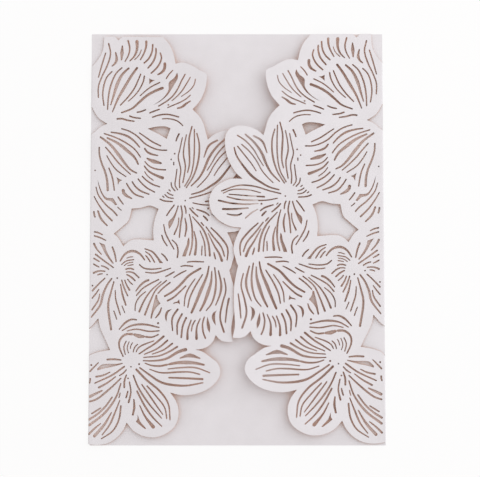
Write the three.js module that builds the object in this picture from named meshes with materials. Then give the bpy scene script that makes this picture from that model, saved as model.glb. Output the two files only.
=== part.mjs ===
// Pocket fold invitation cover, in millimetres, with +Z up.
// One sheet of pearl card lies with its back panel flat on the ground and its top edge towards +Y.
// The sheet is folded inwards at both sides. The two flaps are laser-cut as flowers and leaves and
// meet over the middle, with the right flap on top. The origin is below the middle of the panel.
import * as THREE from "three";

// Sheet and folds
const CARD_WIDTH = 127;
const CARD_HEIGHT = 178;
const CARD_THICKNESS = 0.3;
const FOLD_INNER_RADIUS = 0.3;
const FOLD_STEPS = 6;
const LEFT_FLAP_TILT = THREE.MathUtils.degToRad(1.5);
const FLAP_GAP = 0.75; // air between the right flap and the left flap's furthest petal
const TAB_RELIEF = 0.3; // slot between the end of a fold and the panel's edge beside it
const SHORTEST_TAB = 1;

// How finely the cuts are faceted
const LONG_SLIT = 17;
const SLIT_SPANS = 2;
const LONG_SLIT_SPANS = 3;
const EDGE_SPACING = 3.4; // between the corners of a petal's edge
const POINTED_GAIN = 1.3; // a slit drawn with pointed ends is this much wider at its middle

// The lace is drawn as it lies on a card of this size. Each point gives the distance in from the
// fold and the height above the foot of the card.
const LACE_WIDTH = 127;
const LACE_HEIGHT = 178;

// The left flap was folded a little low and slightly askew. It hangs lowest at the middle height
// and less by the eased amount at one reach above or below.
const LEFT_DROP = 1.75;
const LEFT_DROP_EASED = 1;
const LEFT_DROP_MIDDLE = 105;
const LEFT_DROP_REACH = 95;
const LEFT_SHIFT = 0.9;
const LEFT_LEAN = 0.0111;
const LEFT_NARROWING = 0.025;
const LEFT_TWIST = 0.0002;

// Heights between which the sheet turns round at the fold. Elsewhere the lace is cut away there.
const FOLD_SPANS = [
  [1.6, 38.1],
  [50.9, 135.3],
  [147.5, 165],
];

// The flap's edge from the top of the fold, over the petals, to its foot. Each row runs smoothly on
// from the last point of the row before it, and ends in a sharp corner.
const PETAL_EDGE = [
  [[0, 165]],
  [[2, 167.5], [4.2, 171.4], [4.9, 178]],
  [[9.6, 178]],
  [[11.2, 176.4]],
  [[13, 178]],
  [[31, 178]],
  [[34, 174.5], [35.7, 171], [36.8, 166.5]],
  [[40, 167], [43.5, 166], [47.5, 163.8], [50.6, 162.2], [50, 155], [48, 150.5], [44.8, 146.7]],
  [[48, 143.5], [49.8, 140.5], [51, 136.5], [51.9, 133.6]],
  [
    [55, 136], [59, 137.5], [62.5, 137.8], [66, 136.8], [68, 134.5], [68.6, 131],
    [67.5, 124], [64, 117.5], [61, 114.6],
  ],
  [[66, 114.6], [70, 113], [73.5, 110.2], [75.3, 106.5], [75.1, 102.5], [74, 99.4]],
  [[70.4, 96.1], [66.3, 94.1], [61.6, 93.4]],
  [[63.8, 89.8], [65.3, 86], [65.4, 83], [64.5, 80.1]],
  [[62.9, 77]],
  [[64.2, 72.5], [65.1, 68], [65.2, 60], [64.7, 55.5], [64.4, 51], [65.2, 46.1]],
  [[62.5, 46], [60, 46.6], [57.5, 48.9]],
  [[56.6, 46.5], [54.6, 44.3], [51.6, 42.9], [48.5, 42.5]],
  [
    [51.5, 41.8], [55.8, 39], [58.6, 36.8], [59.9, 34], [59.8, 31.4], [57.6, 28],
    [54, 25.2], [50, 23.6], [45, 22.8], [41.5, 23], [37.7, 23.9],
  ],
  [
    [40.1, 20.7], [41.5, 17.2], [41.6, 13.5], [40.2, 9.5], [36.9, 6.5],
    [32, 4.6], [27, 4.8], [22.1, 6.9], [18.5, 10.7],
  ],
  [[17, 7.5], [14.4, 4.4], [10.5, 1.9], [5.9, 0.9], [2.7, 1.1], [0, 1.6]],
  [[0, 38.1]],
  [[1.6, 39.7], [5, 41], [10.4, 42]],
  [[8.3, 46.3], [5.8, 51.5], [4.8, 55.7]],
  [[3.2, 53.8], [1.6, 52], [0, 50.9]],
  [[0, 135.3]],
  [[1.5, 136.4], [4, 138.6], [7, 140]],
  [[3.2, 142.4], [1.3, 145], [0, 147.5]],
];

// Openings with an outline of their own: two windows, and the broad cuts of leaves and petals.
const WINDOWS = [
  [[25, 138.1], [29, 139], [33, 139.1], [35.2, 138.3], [33.6, 133.7], [30, 135.7]],
  [
    [18.7, 103.3], [22.7, 103.7], [26.7, 104.7], [30.7, 103.3], [29.1, 98.8], [28.5, 94], [28.8, 89.6],
    [20, 89.9], [17.5, 88.9], [15.3, 86.9], [12.8, 90.7], [10.9, 92.3], [15, 95.8], [17.4, 98.2],
  ],
  [[25.2, 160], [27.8, 159.2], [25.2, 157.3]],
  [
    [37.6, 162.6], [38, 160.5], [35.2, 155.2], [30.5, 150.1],
    [27.2, 148.3], [31.5, 151.4], [33.9, 155], [34, 158.2],
  ],
  [[11.6, 117], [14.2, 115.6], [12.3, 113.4]],
  [
    [3.2, 115.8], [5.7, 109.6], [7.2, 108], [10.3, 107.7],
    [12.2, 104.9], [9.4, 106.4], [7, 107], [4.9, 109.5],
  ],
  [[39.2, 105], [37, 99.6], [35.3, 97.8], [35.6, 94.6], [37.8, 98.8], [39.7, 104.6]],
  [[44.6, 91.2], [44.9, 88.5], [43.3, 82.8], [41.7, 82.8], [43.6, 87.8]],
  [[4.4, 88.5], [7.1, 87.5], [8.9, 82.9], [11.2, 79.6], [8.5, 81.8], [6.8, 84.4]],
  [[30.9, 66.2], [32.5, 62.3], [29.6, 58.8], [28.4, 55.7], [28.6, 58.9], [29.4, 62.5]],
  [[40.8, 64.3], [41.2, 62], [38.1, 62.4]],
  [[57.9, 59.7], [57.1, 56], [57.5, 53], [55.6, 56.6]],
  [[53.6, 56.8], [55, 52.3], [54.8, 49.9], [53.3, 54]],
  [[37.7, 60], [35.6, 57], [35.4, 54.5], [34.6, 57.5]],
  [[16.2, 36.5], [7, 35.7], [4.8, 33.4], [11, 34.6]],
  [[23.3, 14.3], [24.5, 11.4], [27.4, 8.2], [22.6, 11.2]],
  [[20.6, 49.2], [24, 48.9], [28, 48], [32.1, 49.2], [29, 47.3], [23, 47.4]],
  [[26, 36.6], [31, 35.7], [35.5, 36.2], [39, 37.6], [46, 37.5], [53, 36], [38, 35.9], [31, 35]],
];

// Slits, each a width and then the points that its middle line runs through.
const SLITS = [
  [0.7, 5.7, 171, 4.2, 166, 2.6, 160],
  [0.7, 6.8, 175.2, 7.8, 170.5, 6.5, 165.5, 4, 160, 2.7, 156, 2.8, 151.2],
  [0.9, 10, 171.3, 10.6, 168, 9.9, 166.3, 8.4, 165],
  [1.2, 13, 174.2, 12.9, 171, 12.7, 167.6],
  [0.7, 15.4, 176.6, 16.3, 173, 15.8, 170, 14.2, 167],
  [1, 19.4, 176.6, 19.5, 172.5, 18.4, 169.5, 16.3, 167.3],
  [0.6, 21.5, 172.5, 20.5, 170, 18.4, 167.9],
  [0.8, 23.6, 176.5, 23.5, 173.5, 22.5, 170.5, 21, 167.8],
  [0.8, 26.5, 175, 26.2, 171.5, 24.8, 168.5, 22.6, 166.4],
  [0.9, 27.9, 173.3, 28, 171, 27, 167.5, 24.4, 164.2],
  [0.8, 29.8, 171.3, 30.5, 169, 29.5, 166, 27.8, 163.8, 25.8, 162],
  [1.3, 32, 167, 32, 164.5, 31, 162.8, 28.8, 161.5],
  [0.7, 8.8, 162.9, 6.5, 160.5, 5.2, 157, 4.7, 152.5, 5.4, 147.7],
  [0.8, 13.2, 164.6, 10.5, 162, 8.3, 157, 7.3, 152, 7, 146],
  [1.2, 16.3, 164.5, 13.2, 161.5, 11, 157, 9.5, 152, 8.3, 148],
  [1.3, 20, 164.8, 17.3, 161, 14.4, 156, 11.7, 151.3, 9.1, 145],
  [0.7, 21.5, 162, 20.3, 159, 18.7, 155.5, 15.8, 151.5, 12.5, 148],
  [0.6, 23.1, 161.2, 22.6, 158.5, 20.8, 154.8, 18.5, 152, 16, 149.8],
  [0.6, 30.2, 158.3, 26.5, 156.5, 24, 154.7, 21.2, 152.2],
  [0.9, 31.8, 156, 28, 154.5, 24.5, 152.5, 21, 149.5, 18, 146.8, 13, 144.8],
  [0.7, 19.9, 145.1, 22, 145.5, 24.2, 146.4],
  [0.7, 16.6, 143.6, 18.5, 142.9, 22, 142.5],
  [0.8, 11, 142.1, 13.3, 142.3, 16, 141.6, 19.2, 141.2],
  [0.7, 25.5, 144.8, 28, 145.8, 30.3, 146.6],
  [0.6, 32.7, 159.7, 34, 161.8, 35.8, 163.7],
  [0.7, 41.3, 162.1, 39.6, 159, 38, 155.5, 36, 152.5, 33.5, 150.3, 29.5, 147.8],
  [0.6, 43.6, 160.8, 42, 158, 39.8, 154.5, 37.5, 152, 35.4, 150.2],
  [0.6, 45.8, 160, 45.3, 157.5, 43.5, 155, 39.6, 152.1],
  [0.6, 43.9, 153, 42, 151.3, 39.5, 149.8, 36, 148.3, 33.5, 147.2],
  [0.6, 44, 150.4, 42, 149.2, 40, 147.6, 37.8, 147],
  [0.7, 26.8, 143, 30, 144, 33, 144.4, 36, 144, 39, 143.2],
  [0.6, 31.3, 142.4, 34, 142.5, 37, 142, 39, 141, 40.8, 139.4],
  [1.4, 3.8, 134.4, 8.5, 131, 12, 127, 15.5, 122.5, 18, 120, 20.8, 118.6],
  [1.5, 6.8, 134, 12, 131.5, 16, 128.5, 19.5, 125.5, 21.3, 122.3],
  [0.7, 5.5, 135.8, 11, 134, 15.5, 131.8, 19.5, 129, 22.2, 125.5],
  [1, 8.5, 136.4, 13, 135.7, 16.5, 134.5, 19.5, 132.3, 21.8, 129.8],
  [0.7, 13.2, 138, 17, 136.8, 20.5, 134.7, 24, 131.5, 28, 129.5, 31, 128.8, 34, 128.8],
  [0.7, 21.2, 136.3, 24, 134.5, 27, 132.5, 31.3, 130.5],
  [0.7, 6.3, 130, 9, 127, 11.5, 124, 14.5, 121, 18, 118],
  [0.6, 7, 126.3, 9, 123, 11.5, 120, 16, 117],
  [0.8, 3.6, 130, 3.8, 126.5, 5, 122.5, 6.5, 119, 7.5, 115, 7.8, 110.7],
  [0.7, 8, 121, 9.5, 117.5, 10.3, 114, 10.8, 110.9],
  [1, 23.7, 129.7, 25, 128, 27, 127, 30, 126.4],
  [1.1, 24.8, 125.3, 27, 124.2, 31.7, 123],
  [0.7, 24, 123.9, 25.8, 122, 29, 120.6, 33.7, 120.2],
  [0.8, 23.7, 122, 26, 119.5, 29.5, 117.7, 32.8, 116.5],
  [0.6, 24, 119.5, 25.5, 117.5, 28.2, 115.5],
  [0.7, 22.9, 117.5, 25, 115.6, 28, 113.8, 31.2, 112.8],
  [0.7, 21.1, 116.4, 23, 114.2, 25.5, 112.2, 29, 110.4],
  [0.8, 18.5, 115.2, 20, 113, 22.5, 111, 26.5, 109.5],
  [0.8, 16, 114.4, 17.7, 111.8, 20, 109.5, 24, 108.2],
  [1, 14.6, 111.8, 15, 110, 16.5, 108.7, 18.8, 107.6],
  [0.7, 2.5, 112.7, 3.7, 109, 7.7, 104.3, 10.4, 102.2, 12.4, 100],
  [0.7, 1.7, 108.6, 3.5, 105.5, 6.7, 101.2, 10.3, 97.7],
  [0.7, 12.3, 108.5, 13.6, 106.7, 15, 105],
  [0.6, 12.3, 104, 13.2, 103.1, 14.2, 102.4],
  [1, 3.5, 102.4, 5.1, 98.7, 8.1, 95.6],
  [0.8, 1.8, 102.1, 2, 100.6, 2.5, 99.2],
  [0.7, 39.2, 136.2, 38.3, 134.4, 37.7, 132.6],
  [0.6, 37, 123.8, 37, 123, 37, 122.2],
  [0.6, 36, 115, 36.3, 113, 38, 111],
  [0.6, 35, 111.8, 35.4, 111.3, 36, 111],
  [0.6, 34.2, 110.6, 35.5, 109.7, 37.2, 109.2],
  [0.6, 33.2, 109.7, 34.8, 108.3, 37.4, 107.9],
  [0.6, 32.2, 109, 32.7, 108.5, 33.2, 108.2],
  [0.7, 31, 107.6, 33, 106.8, 37, 106.5],
  [0.6, 40.6, 134.5, 39.5, 128.9, 38.9, 125.8, 39.7, 122.6, 40.2, 120.1, 39.7, 115.7, 39.9, 112.3],
  [0.7, 42.4, 135.8, 41.5, 131, 41.2, 127, 42.2, 122, 41.8, 118, 41.2, 114.5],
  [0.9, 44.8, 139.5, 43.6, 134, 43.8, 128, 44, 123, 43.2, 119],
  [0.7, 45.8, 138.2, 46, 132, 46, 127, 45.6, 122, 44.5, 117.5, 42, 113],
  [0.9, 46.9, 136.5, 48.1, 132, 48.2, 127, 47.5, 122.5, 45.8, 117.5, 42.7, 112.4],
  [0.6, 38.5, 120.8, 38.1, 117, 37.8, 113.5, 39.2, 111.4],
  [1, 56.5, 133.5, 52.5, 131, 50.3, 125.7],
  [1.2, 60, 134.2, 56, 130.5, 52.8, 126, 50.5, 120.5, 48.5, 117, 44.8, 113.2],
  [0.7, 63.4, 133.7, 59.5, 131, 56, 127, 54, 123.5, 51.8, 120],
  [0.6, 61.5, 129.7, 58, 126.5, 55, 122.5, 52.5, 118, 50, 115, 47.6, 112.7],
  [0.6, 63.3, 129, 60, 124.8, 57, 121, 55, 117.8],
  [1.1, 64.7, 128.5, 63.5, 124.5, 60.5, 120, 57, 115.8, 53, 113, 49.5, 111, 45, 109.7],
  [0.7, 44.2, 108, 50, 109.5, 54.5, 111, 60, 111.8, 64, 111.5, 70.3, 109.2],
  [0.6, 53, 108.4, 57, 109.5, 61.5, 110, 66, 109.8, 69.5, 108.3],
  [0.6, 51.2, 106.7, 57.5, 107.1, 62, 107.5, 67, 107.9],
  [0.7, 45.7, 106.1, 50, 105.3, 56.9, 105.2, 63.2, 105.7, 67.9, 106.9],
  [0.8, 54.1, 103.8, 60.1, 103.5, 66.3, 104.1, 71.7, 105.3],
  [0.9, 58.3, 101.9, 65.1, 101.4, 69.9, 101.5],
  [0.9, 61.2, 99.7, 62.9, 98.8, 65.1, 98.8, 67.9, 99.4],
  [0.7, 37.8, 105.2, 36, 102.9, 34.2, 100.2],
  [0.8, 40.6, 105, 41.3, 101.1, 40.8, 97.7, 40.2, 90.8],
  [0.7, 42.1, 105, 42.7, 103.6, 43, 101.2],
  [0.6, 39.8, 99.7, 39.6, 96.6, 37.8, 92],
  [0.9, 42.5, 99.6, 43.3, 95.5, 42.7, 91.2],
  [0.9, 44.4, 101.3, 45.7, 96.1, 46.1, 90.1, 45.8, 86.7, 44.9, 83.1],
  [0.8, 44.4, 103.9, 45.7, 102.4, 48.5, 100],
  [0.6, 45.5, 104.2, 45.9, 103.7, 46.4, 103.3],
  [0.8, 47.5, 103.3, 51.6, 101.9, 53.5, 100.5],
  [0.9, 50.6, 100.6, 51.8, 99.5, 52.8, 98.3],
  [0.7, 54.3, 101.4, 56.8, 100, 58.2, 98.9, 59.9, 97.3],
  [0.9, 45.8, 100.2, 51, 94.2, 53.3, 88.6, 54.1, 82.8],
  [0.7, 49.7, 97.9, 50.5, 97.1, 51.3, 96.2],
  [0.8, 51.9, 95.9, 55.4, 91.4, 59.1, 87, 60.7, 82.8],
  [0.9, 54.1, 95.5, 58.2, 91.7, 61.5, 87.6, 62.1, 85.1, 61.8, 81.2],
  [0.9, 46.7, 93.9, 47.8, 89, 47.4, 83.2],
  [0.7, 49.3, 94.2, 51.4, 89.2, 52.1, 82.9],
  [0.6, 50.5, 87.6, 50.4, 85.4, 50.4, 83.2],
  [0.8, 53, 93, 56.3, 87, 58.2, 84.2, 59.7, 80.6],
  [0.8, 55.8, 84.8, 56.2, 83.2, 56.7, 81.6],
  [0.7, 33.1, 96.7, 33.9, 93.1, 35.5, 89.9, 38.1, 85.7],
  [0.7, 32.3, 92.1, 33.1, 89.9, 35, 87.1],
  [0.7, 36.9, 90, 39, 88, 39.8, 85.2, 39.5, 82],
  [0.7, 43.8, 80.3, 46, 80.6, 51.6, 80.5],
  [0.7, 41, 78.4, 43, 78.8, 46.8, 78.5],
  [0.7, 25.3, 75.8, 27.7, 75.5, 30.4, 75.6, 36.9, 77.7],
  [0.7, 22.5, 79.2, 24.5, 77.6, 28.3, 77.1, 32.7, 77.6],
  [0.7, 34.3, 73.9, 36.3, 74.9, 38.5, 76.2],
  [0.7, 38, 73.5, 41, 75.4, 43.8, 76.8],
  [0.7, 2, 93.1, 4, 92.7, 6.1, 91.7],
  [0.7, 2, 91.4, 5, 90.5, 7.6, 89.3],
  [0.7, 2, 88.3, 3.4, 85.7, 5.7, 83.2],
  [0.8, 10.3, 86.8, 11.5, 83.7, 12.3, 80],
  [0.7, 2.7, 83.5, 6.9, 80.5, 11.3, 77.5],
  [0.7, 2, 81.7, 3.4, 80.9, 4.9, 80.1],
  [0.7, 2, 79.2, 3.4, 78.4, 4.9, 77.7],
  [0.7, 5.5, 78.4, 7.4, 77.9, 9.2, 76.7],
  [0.7, 1.9, 75.1, 4.5, 76.1, 7.6, 76],
  [0.6, 3.9, 74.3, 5.1, 74.8, 6.4, 74.9],
  [0.7, 7.6, 73.2, 5.2, 71, 1.7, 67.3],
  [1.1, 10.6, 73.1, 8.4, 70, 6.7, 66, 5.6, 61.5, 1.5, 55.9],
  [1, 11.5, 71.8, 10.2, 66.9, 9.1, 61.5, 10.7, 50.4],
  [0.7, 4.9, 68.3, 3.5, 66.3, 1.7, 64.1],
  [0.8, 5.2, 66.3, 4.7, 63.6, 1.7, 59],
  [0.7, 12.1, 68, 12.4, 64, 13.6, 60.2, 14.7, 57],
  [0.6, 11.6, 59.1, 12.4, 57.1, 13.1, 55.1],
  [0.6, 15.2, 61.3, 15.9, 59.7, 16.7, 57.9],
  [0.9, 14.4, 70.7, 15.4, 66, 17.1, 61.2],
  [0.8, 14.8, 72.5, 16.1, 68.8, 17.9, 65.2],
  [0.7, 16.2, 72.5, 17.1, 70.2, 18.7, 67.7],
  [0.6, 17.4, 72.8, 18.6, 71.4, 20, 70.3],
  [0.8, 16.9, 74.8, 19, 73.7, 21.1, 71.9],
  [0.7, 16.6, 75.7, 18.4, 75.9, 20.2, 75.4, 22.8, 73.2],
  [0.8, 16.3, 76.9, 18.6, 77.4, 20.4, 76.8],
  [0.6, 17.3, 78.5, 18.7, 78.8, 20.1, 79],
  [0.6, 15.7, 78.4, 17.4, 79.6, 20, 80.1],
  [0.6, 14.6, 78.9, 16.6, 80.5, 20.3, 81.2],
  [0.6, 16.8, 81.7, 18.4, 82.3, 19.9, 82.4],
  [1.2, 13.9, 80.3, 15.8, 83.2, 18.1, 84.7, 20.8, 84.7, 23.2, 83.3, 25.1, 80.9],
  [0.8, 24.7, 86, 28.3, 84.7, 30.1, 82.9, 31.7, 80.8],
  [0.7, 25.1, 84.8, 27.3, 83.3, 29.6, 79.9],
  [0.7, 25.2, 83.2, 26.4, 81.9, 27.6, 80.1],
  [0.7, 32.3, 84, 33.9, 82.7, 35.3, 80.7],
  [0.9, 27.3, 72.5, 25.6, 71.9, 23.4, 70.2, 21.2, 67.4],
  [0.7, 31.7, 72.8, 27.5, 70.7, 24.2, 68.6, 21.5, 65.5],
  [0.6, 25.9, 67.5, 22.9, 64.9, 21.3, 61.8, 21.2, 58.9],
  [0.7, 32.7, 71.9, 28, 67.7, 25, 63.2, 22.9, 58.3],
  [0.7, 35.2, 72.5, 30.3, 68.2, 28, 63.5, 25.5, 57],
  [0.7, 36.8, 71.6, 33.5, 69, 31.5, 67],
  [0.9, 33, 60.7, 32.2, 58.3, 30.3, 55.9],
  [1.1, 50.4, 77.9, 45, 74.6, 41.5, 70.8, 38.2, 67.8, 34, 65.3],
  [0.8, 43.8, 70.2, 41, 67.4, 38, 64.8, 35.3, 63.4],
  [0.7, 47.8, 73.3, 45, 69.2, 43.5, 65.5, 43.1, 61.1],
  [0.8, 51.1, 75.2, 47.8, 69.8, 45.6, 65, 44.7, 60.5],
  [1.3, 53.8, 78.9, 53, 74.6, 50.5, 68.4, 48.4, 63, 46.3, 58.1],
  [1.4, 55.1, 76.7, 54.9, 72, 53.3, 66.2, 51.8, 62.2, 50.1, 59],
  [1, 56.3, 78.3, 57.1, 72, 56.7, 66.9, 55.3, 62.4, 52.9, 59.3],
  [1.1, 58, 77, 59.5, 70.3, 59, 66.5, 57.1, 61.6],
  [0.8, 60.6, 73.8, 61.6, 68.5, 60.1, 62.3, 59.3, 56.5, 61.3, 49.9],
  [0.8, 62.9, 65.1, 62.2, 60, 61.7, 54.2],
  [0.8, 52.3, 56.9, 51.5, 53.5, 52, 49.8, 53.1, 47.2],
  [0.8, 50.5, 56.1, 49, 52.3, 49, 46.7],
  [0.7, 48.3, 55.4, 47, 53, 46.6, 50.3],
  [0.8, 46.5, 55.5, 45, 51, 44.9, 46.6],
  [0.8, 44.3, 56.6, 42.7, 52.8, 42.1, 47.4],
  [0.9, 42.4, 58.2, 40.3, 53.8, 40.3, 48.7],
  [0.8, 40.5, 60.2, 37.9, 56, 38.2, 50.4],
  [1, 14.1, 50.8, 17.1, 54, 19.7, 55.3, 22.2, 55.1],
  [1, 15.4, 50.3, 19.7, 52.6, 25.3, 53.2, 32.3, 51.9],
  [0.7, 17.6, 50.2, 21.8, 51.1, 27.7, 50.2, 32.4, 50.5],
  [0.6, 17.6, 46.1, 16.5, 43.3, 17.3, 39.9],
  [0.6, 18.9, 45.8, 18, 43, 18.7, 40.6],
  [0.6, 20.5, 45.4, 19.7, 44.1, 19.4, 42.5],
  [0.6, 22.8, 44.7, 21.4, 43.3, 20.7, 41],
  [0.7, 30.1, 46.2, 24.8, 44.2, 22.9, 42.9, 22, 41.1],
  [0.8, 34.6, 48.4, 30.1, 44.7, 26.7, 42.6, 23.2, 40.3],
  [0.7, 36.3, 46.6, 31.7, 42.9, 25.6, 40.2],
  [0.7, 38.5, 45.3, 34.4, 42.3, 29.1, 40.3],
  [0.7, 40.8, 43.9, 37, 41.6, 32.5, 39.7, 25.3, 38.9],
  [1, 44.9, 42.7, 41, 41.5, 35.5, 38.4, 30, 37.5, 25.1, 37.5],
  [1.1, 41.6, 38.7, 46, 40, 51, 38.7],
  [0.8, 36.3, 34, 42.8, 34.7, 49, 34.7, 55.5, 32.5],
  [0.8, 28.1, 33.9, 33.2, 32.4, 42, 32.8, 46.5, 32.8, 51.1, 31.8],
  [0.9, 36.7, 30.3, 44.9, 30.1, 52.6, 29.8],
  [1.1, 23.6, 34.6, 28.5, 31.3, 34, 28.1, 44, 26.9, 52.6, 28.3],
  [0.9, 22, 34, 27, 29.2, 33.1, 24.4, 37, 19, 38, 11.9],
  [0.7, 27.1, 26.8, 31.7, 22, 35.5, 17.2, 36.5, 12.4],
  [0.8, 24.8, 27.4, 28.5, 22.5, 31.7, 18.2, 34.8, 14.2],
  [0.9, 20.9, 31.4, 23.5, 25.7, 28.5, 18.7, 34.3, 12.6],
  [0.9, 22.7, 24.6, 26.4, 18.1, 30.1, 13.2, 34.5, 9.1],
  [0.8, 24.1, 18.4, 26.7, 13.5, 31, 8.4],
  [0.9, 8.8, 37.8, 12, 38, 15.6, 37.7],
  [0.7, 5.4, 36.6, 3.7, 34.9, 1.3, 32.4],
  [0.8, 10.7, 32.5, 7.5, 31, 4, 30.3],
  [0.8, 17.2, 35.1, 11.8, 31.3, 7, 29, 3.6, 27.5],
  [0.7, 18, 33.7, 16.6, 32.1, 14.6, 30.8],
  [0.8, 13.3, 30.6, 9.8, 28, 5.3, 25.5],
  [0.9, 15.7, 30, 10.7, 25.3, 4.8, 20.7, 1.3, 19.5],
  [1, 7.4, 24.5, 4.2, 23, 1.3, 21.5],
  [0.8, 1.7, 29.8, 1.7, 28.5, 1.3, 27.3],
  [0.9, 11.9, 21.8, 8.8, 17.5, 5.1, 14.1, 1.2, 11.6],
  [0.8, 6.9, 17, 4.7, 15.6, 2.5, 14.3],
  [1, 15.6, 27.8, 13.4, 21.4, 8.5, 14.7, 1.3, 9.1],
  [0.6, 15.3, 23.7, 15.1, 22.4, 14.7, 21.2],
  [0.9, 15.3, 20.5, 13.3, 15.3, 10.9, 9.7, 7.5, 5.1],
  [1, 11.7, 15.2, 8.5, 9.7, 3.7, 4.3],
  [0.8, 7, 10.3, 4, 7.9, 1.3, 5.2],
  [0.8, 15.8, 18.2, 15, 12, 12.4, 7.1, 7.1, 3.5],
  [0.9, 18, 31.5, 17.1, 28.6, 17.1, 25.5],
  [0.7, 19.3, 28.5, 20.1, 23.9, 19.1, 19.1],
  [0.8, 18.8, 24.5, 18.4, 22.8, 17.9, 21.2],
  [1.1, 21.5, 21, 21.8, 17.3, 21.1, 13.7],
  [0.9, 16.4, 39, 14.4, 43.6, 14.7, 46.5, 17.2, 48.8, 20, 49.1],
];

// Sizes worked out from the ones above
const FOLD_RADIUS = FOLD_INNER_RADIUS + CARD_THICKNESS / 2;
const PANEL_EDGE = CARD_WIDTH / 2 - FOLD_INNER_RADIUS - CARD_THICKNESS;

// A flap on one side: how far the sheet turns at the fold and where the turn ends.
function makeFlap(side, tilt) {
  const turn = Math.PI - tilt;
  const endX = PANEL_EDGE + FOLD_RADIUS * Math.sin(turn);
  return { side, tilt, turn, endX, arcLength: FOLD_RADIUS * turn };
}

// The lace point of a flap in the card's own plan: distance in from the fold, height above the foot.
function asFolded(side, across, up) {
  if (side > 0) return [across, up];
  const down = LACE_HEIGHT - up;
  const fromLowest = (up - LEFT_DROP_MIDDLE) / LEFT_DROP_REACH;
  return [
    across + LEFT_SHIFT - LEFT_LEAN * down - LEFT_NARROWING * across - LEFT_TWIST * across * down,
    up - LEFT_DROP + LEFT_DROP_EASED * fromLowest ** 2,
  ];
}

function heightOnCard(side, up) {
  return (asFolded(side, 0, up)[1] / LACE_HEIGHT - 0.5) * CARD_HEIGHT;
}

// The same point on the sheet laid flat, where x runs out past the fold and along the flap.
function onSheet(flap, [across, up]) {
  const [inward, height] = asFolded(flap.side, across, up);
  const share = across > 0 ? inward / (LACE_WIDTH / 2) : 0;
  const run = (flap.endX * share) / Math.cos(flap.tilt);
  return new THREE.Vector2(
    flap.side * (PANEL_EDGE + flap.arcLength + run),
    (height / LACE_HEIGHT - 0.5) * CARD_HEIGHT,
  );
}

// Where a point of the flat sheet lies once folded, and the way its inner face looks there.
function folded(flap, point) {
  const out = Math.abs(point.x) - PANEL_EDGE;
  if (out <= 0) return unbent(flap, point);
  const turn = Math.min(out / FOLD_RADIUS, flap.turn);
  const run = Math.max(0, out - flap.arcLength);
  const x = PANEL_EDGE + FOLD_RADIUS * Math.sin(turn) - run * Math.cos(flap.tilt);
  const z = CARD_THICKNESS / 2 + FOLD_RADIUS * (1 - Math.cos(turn)) + run * Math.sin(flap.tilt);
  return {
    at: new THREE.Vector3(flap.side * x, point.y, z),
    inward: new THREE.Vector3(-flap.side * Math.sin(turn), 0, Math.cos(turn)),
  };
}

function unbent(flap, point) {
  return {
    at: new THREE.Vector3(point.x, point.y, CARD_THICKNESS / 2),
    inward: new THREE.Vector3(0, 0, 1),
  };
}

// A sheet of even thickness, gathered from flat regions that share their border corners.
class Sheet {
  constructor() {
    this.corners = new Map();
    this.positions = [];
    this.triangles = [];
  }

  corner(flap, point, lay) {
    const key = point.x.toFixed(4) + " " + point.y.toFixed(4);
    if (!this.corners.has(key)) {
      const { at, inward } = lay(flap, point);
      const half = inward.multiplyScalar(CARD_THICKNESS / 2);
      this.corners.set(key, this.positions.length / 2);
      this.positions.push(at.clone().add(half), at.clone().sub(half));
    }
    return this.corners.get(key);
  }

  addRegion(flap, contour, holes = [], lay = folded) {
    const points = [contour, ...holes].flat();
    for (const [a, b, c] of THREE.ShapeUtils.triangulateShape([...contour], holes)) {
      const area = (points[b].x - points[a].x) * (points[c].y - points[a].y)
        - (points[c].x - points[a].x) * (points[b].y - points[a].y);
      const order = area > 0 ? [a, b, c] : [a, c, b];
      this.triangles.push(order.map((i) => this.corner(flap, points[i], lay)));
    }
  }

  // A region whose corners all see its middle.
  addFan(flap, contour, middle) {
    contour.forEach((point, i) => {
      const next = contour[(i + 1) % contour.length];
      this.triangles.push([middle, point, next].map((corner) => this.corner(flap, corner, folded)));
    });
  }

  // Both faces, and a wall along every edge that only one triangle uses.
  geometry() {
    const used = new Set(this.triangles.flatMap(([a, b, c]) => [a + " " + b, b + " " + c, c + " " + a]));
    const index = [];
    for (const [a, b, c] of this.triangles) {
      index.push(2 * a, 2 * b, 2 * c, 2 * a + 1, 2 * c + 1, 2 * b + 1);
    }
    for (const edge of used) {
      const [a, b] = edge.split(" ").map(Number);
      if (used.has(b + " " + a)) continue;
      index.push(2 * a + 1, 2 * b + 1, 2 * b, 2 * a + 1, 2 * b, 2 * a);
    }
    const made = new THREE.BufferGeometry().setFromPoints(this.positions).setIndex(index);
    made.computeVertexNormals();
    return made;
  }
}

// A slit on the flat sheet: pointed at both ends, widest in the middle.
function slitOutline(flap, [width, ...numbers]) {
  const points = [];
  for (let i = 0; i < numbers.length; i += 2) points.push(onSheet(flap, [numbers[i], numbers[i + 1]]));
  const line = new THREE.SplineCurve(points);
  const spans = line.getLength() > LONG_SLIT ? LONG_SLIT_SPANS : SLIT_SPANS;
  const half = (width * POINTED_GAIN) / 2;
  const left = [];
  const right = [];
  for (let i = 1; i < spans; i++) {
    const middle = line.getPointAt(i / spans);
    const way = line.getTangentAt(i / spans);
    const aside = new THREE.Vector2(-way.y, way.x).multiplyScalar(half);
    left.push(middle.clone().add(aside));
    right.unshift(middle.clone().sub(aside));
  }
  return [points[0], ...left, points[points.length - 1], ...right];
}

// The flap's edge on the flat sheet, each row of the drawing smoothed between its sharp corners.
function flapOutline(flap) {
  const outline = [];
  let start = null;
  for (const row of PETAL_EDGE) {
    const points = row.map((point) => onSheet(flap, point));
    const line = new THREE.SplineCurve(start ? [start, ...points] : points);
    const spans = row.length > 1 ? Math.ceil(line.getLength() / EDGE_SPACING) : 1;
    for (let i = 1; i < spans; i++) outline.push(line.getPointAt(i / spans));
    start = points[points.length - 1];
    outline.push(start);
  }
  return outline;
}

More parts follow.
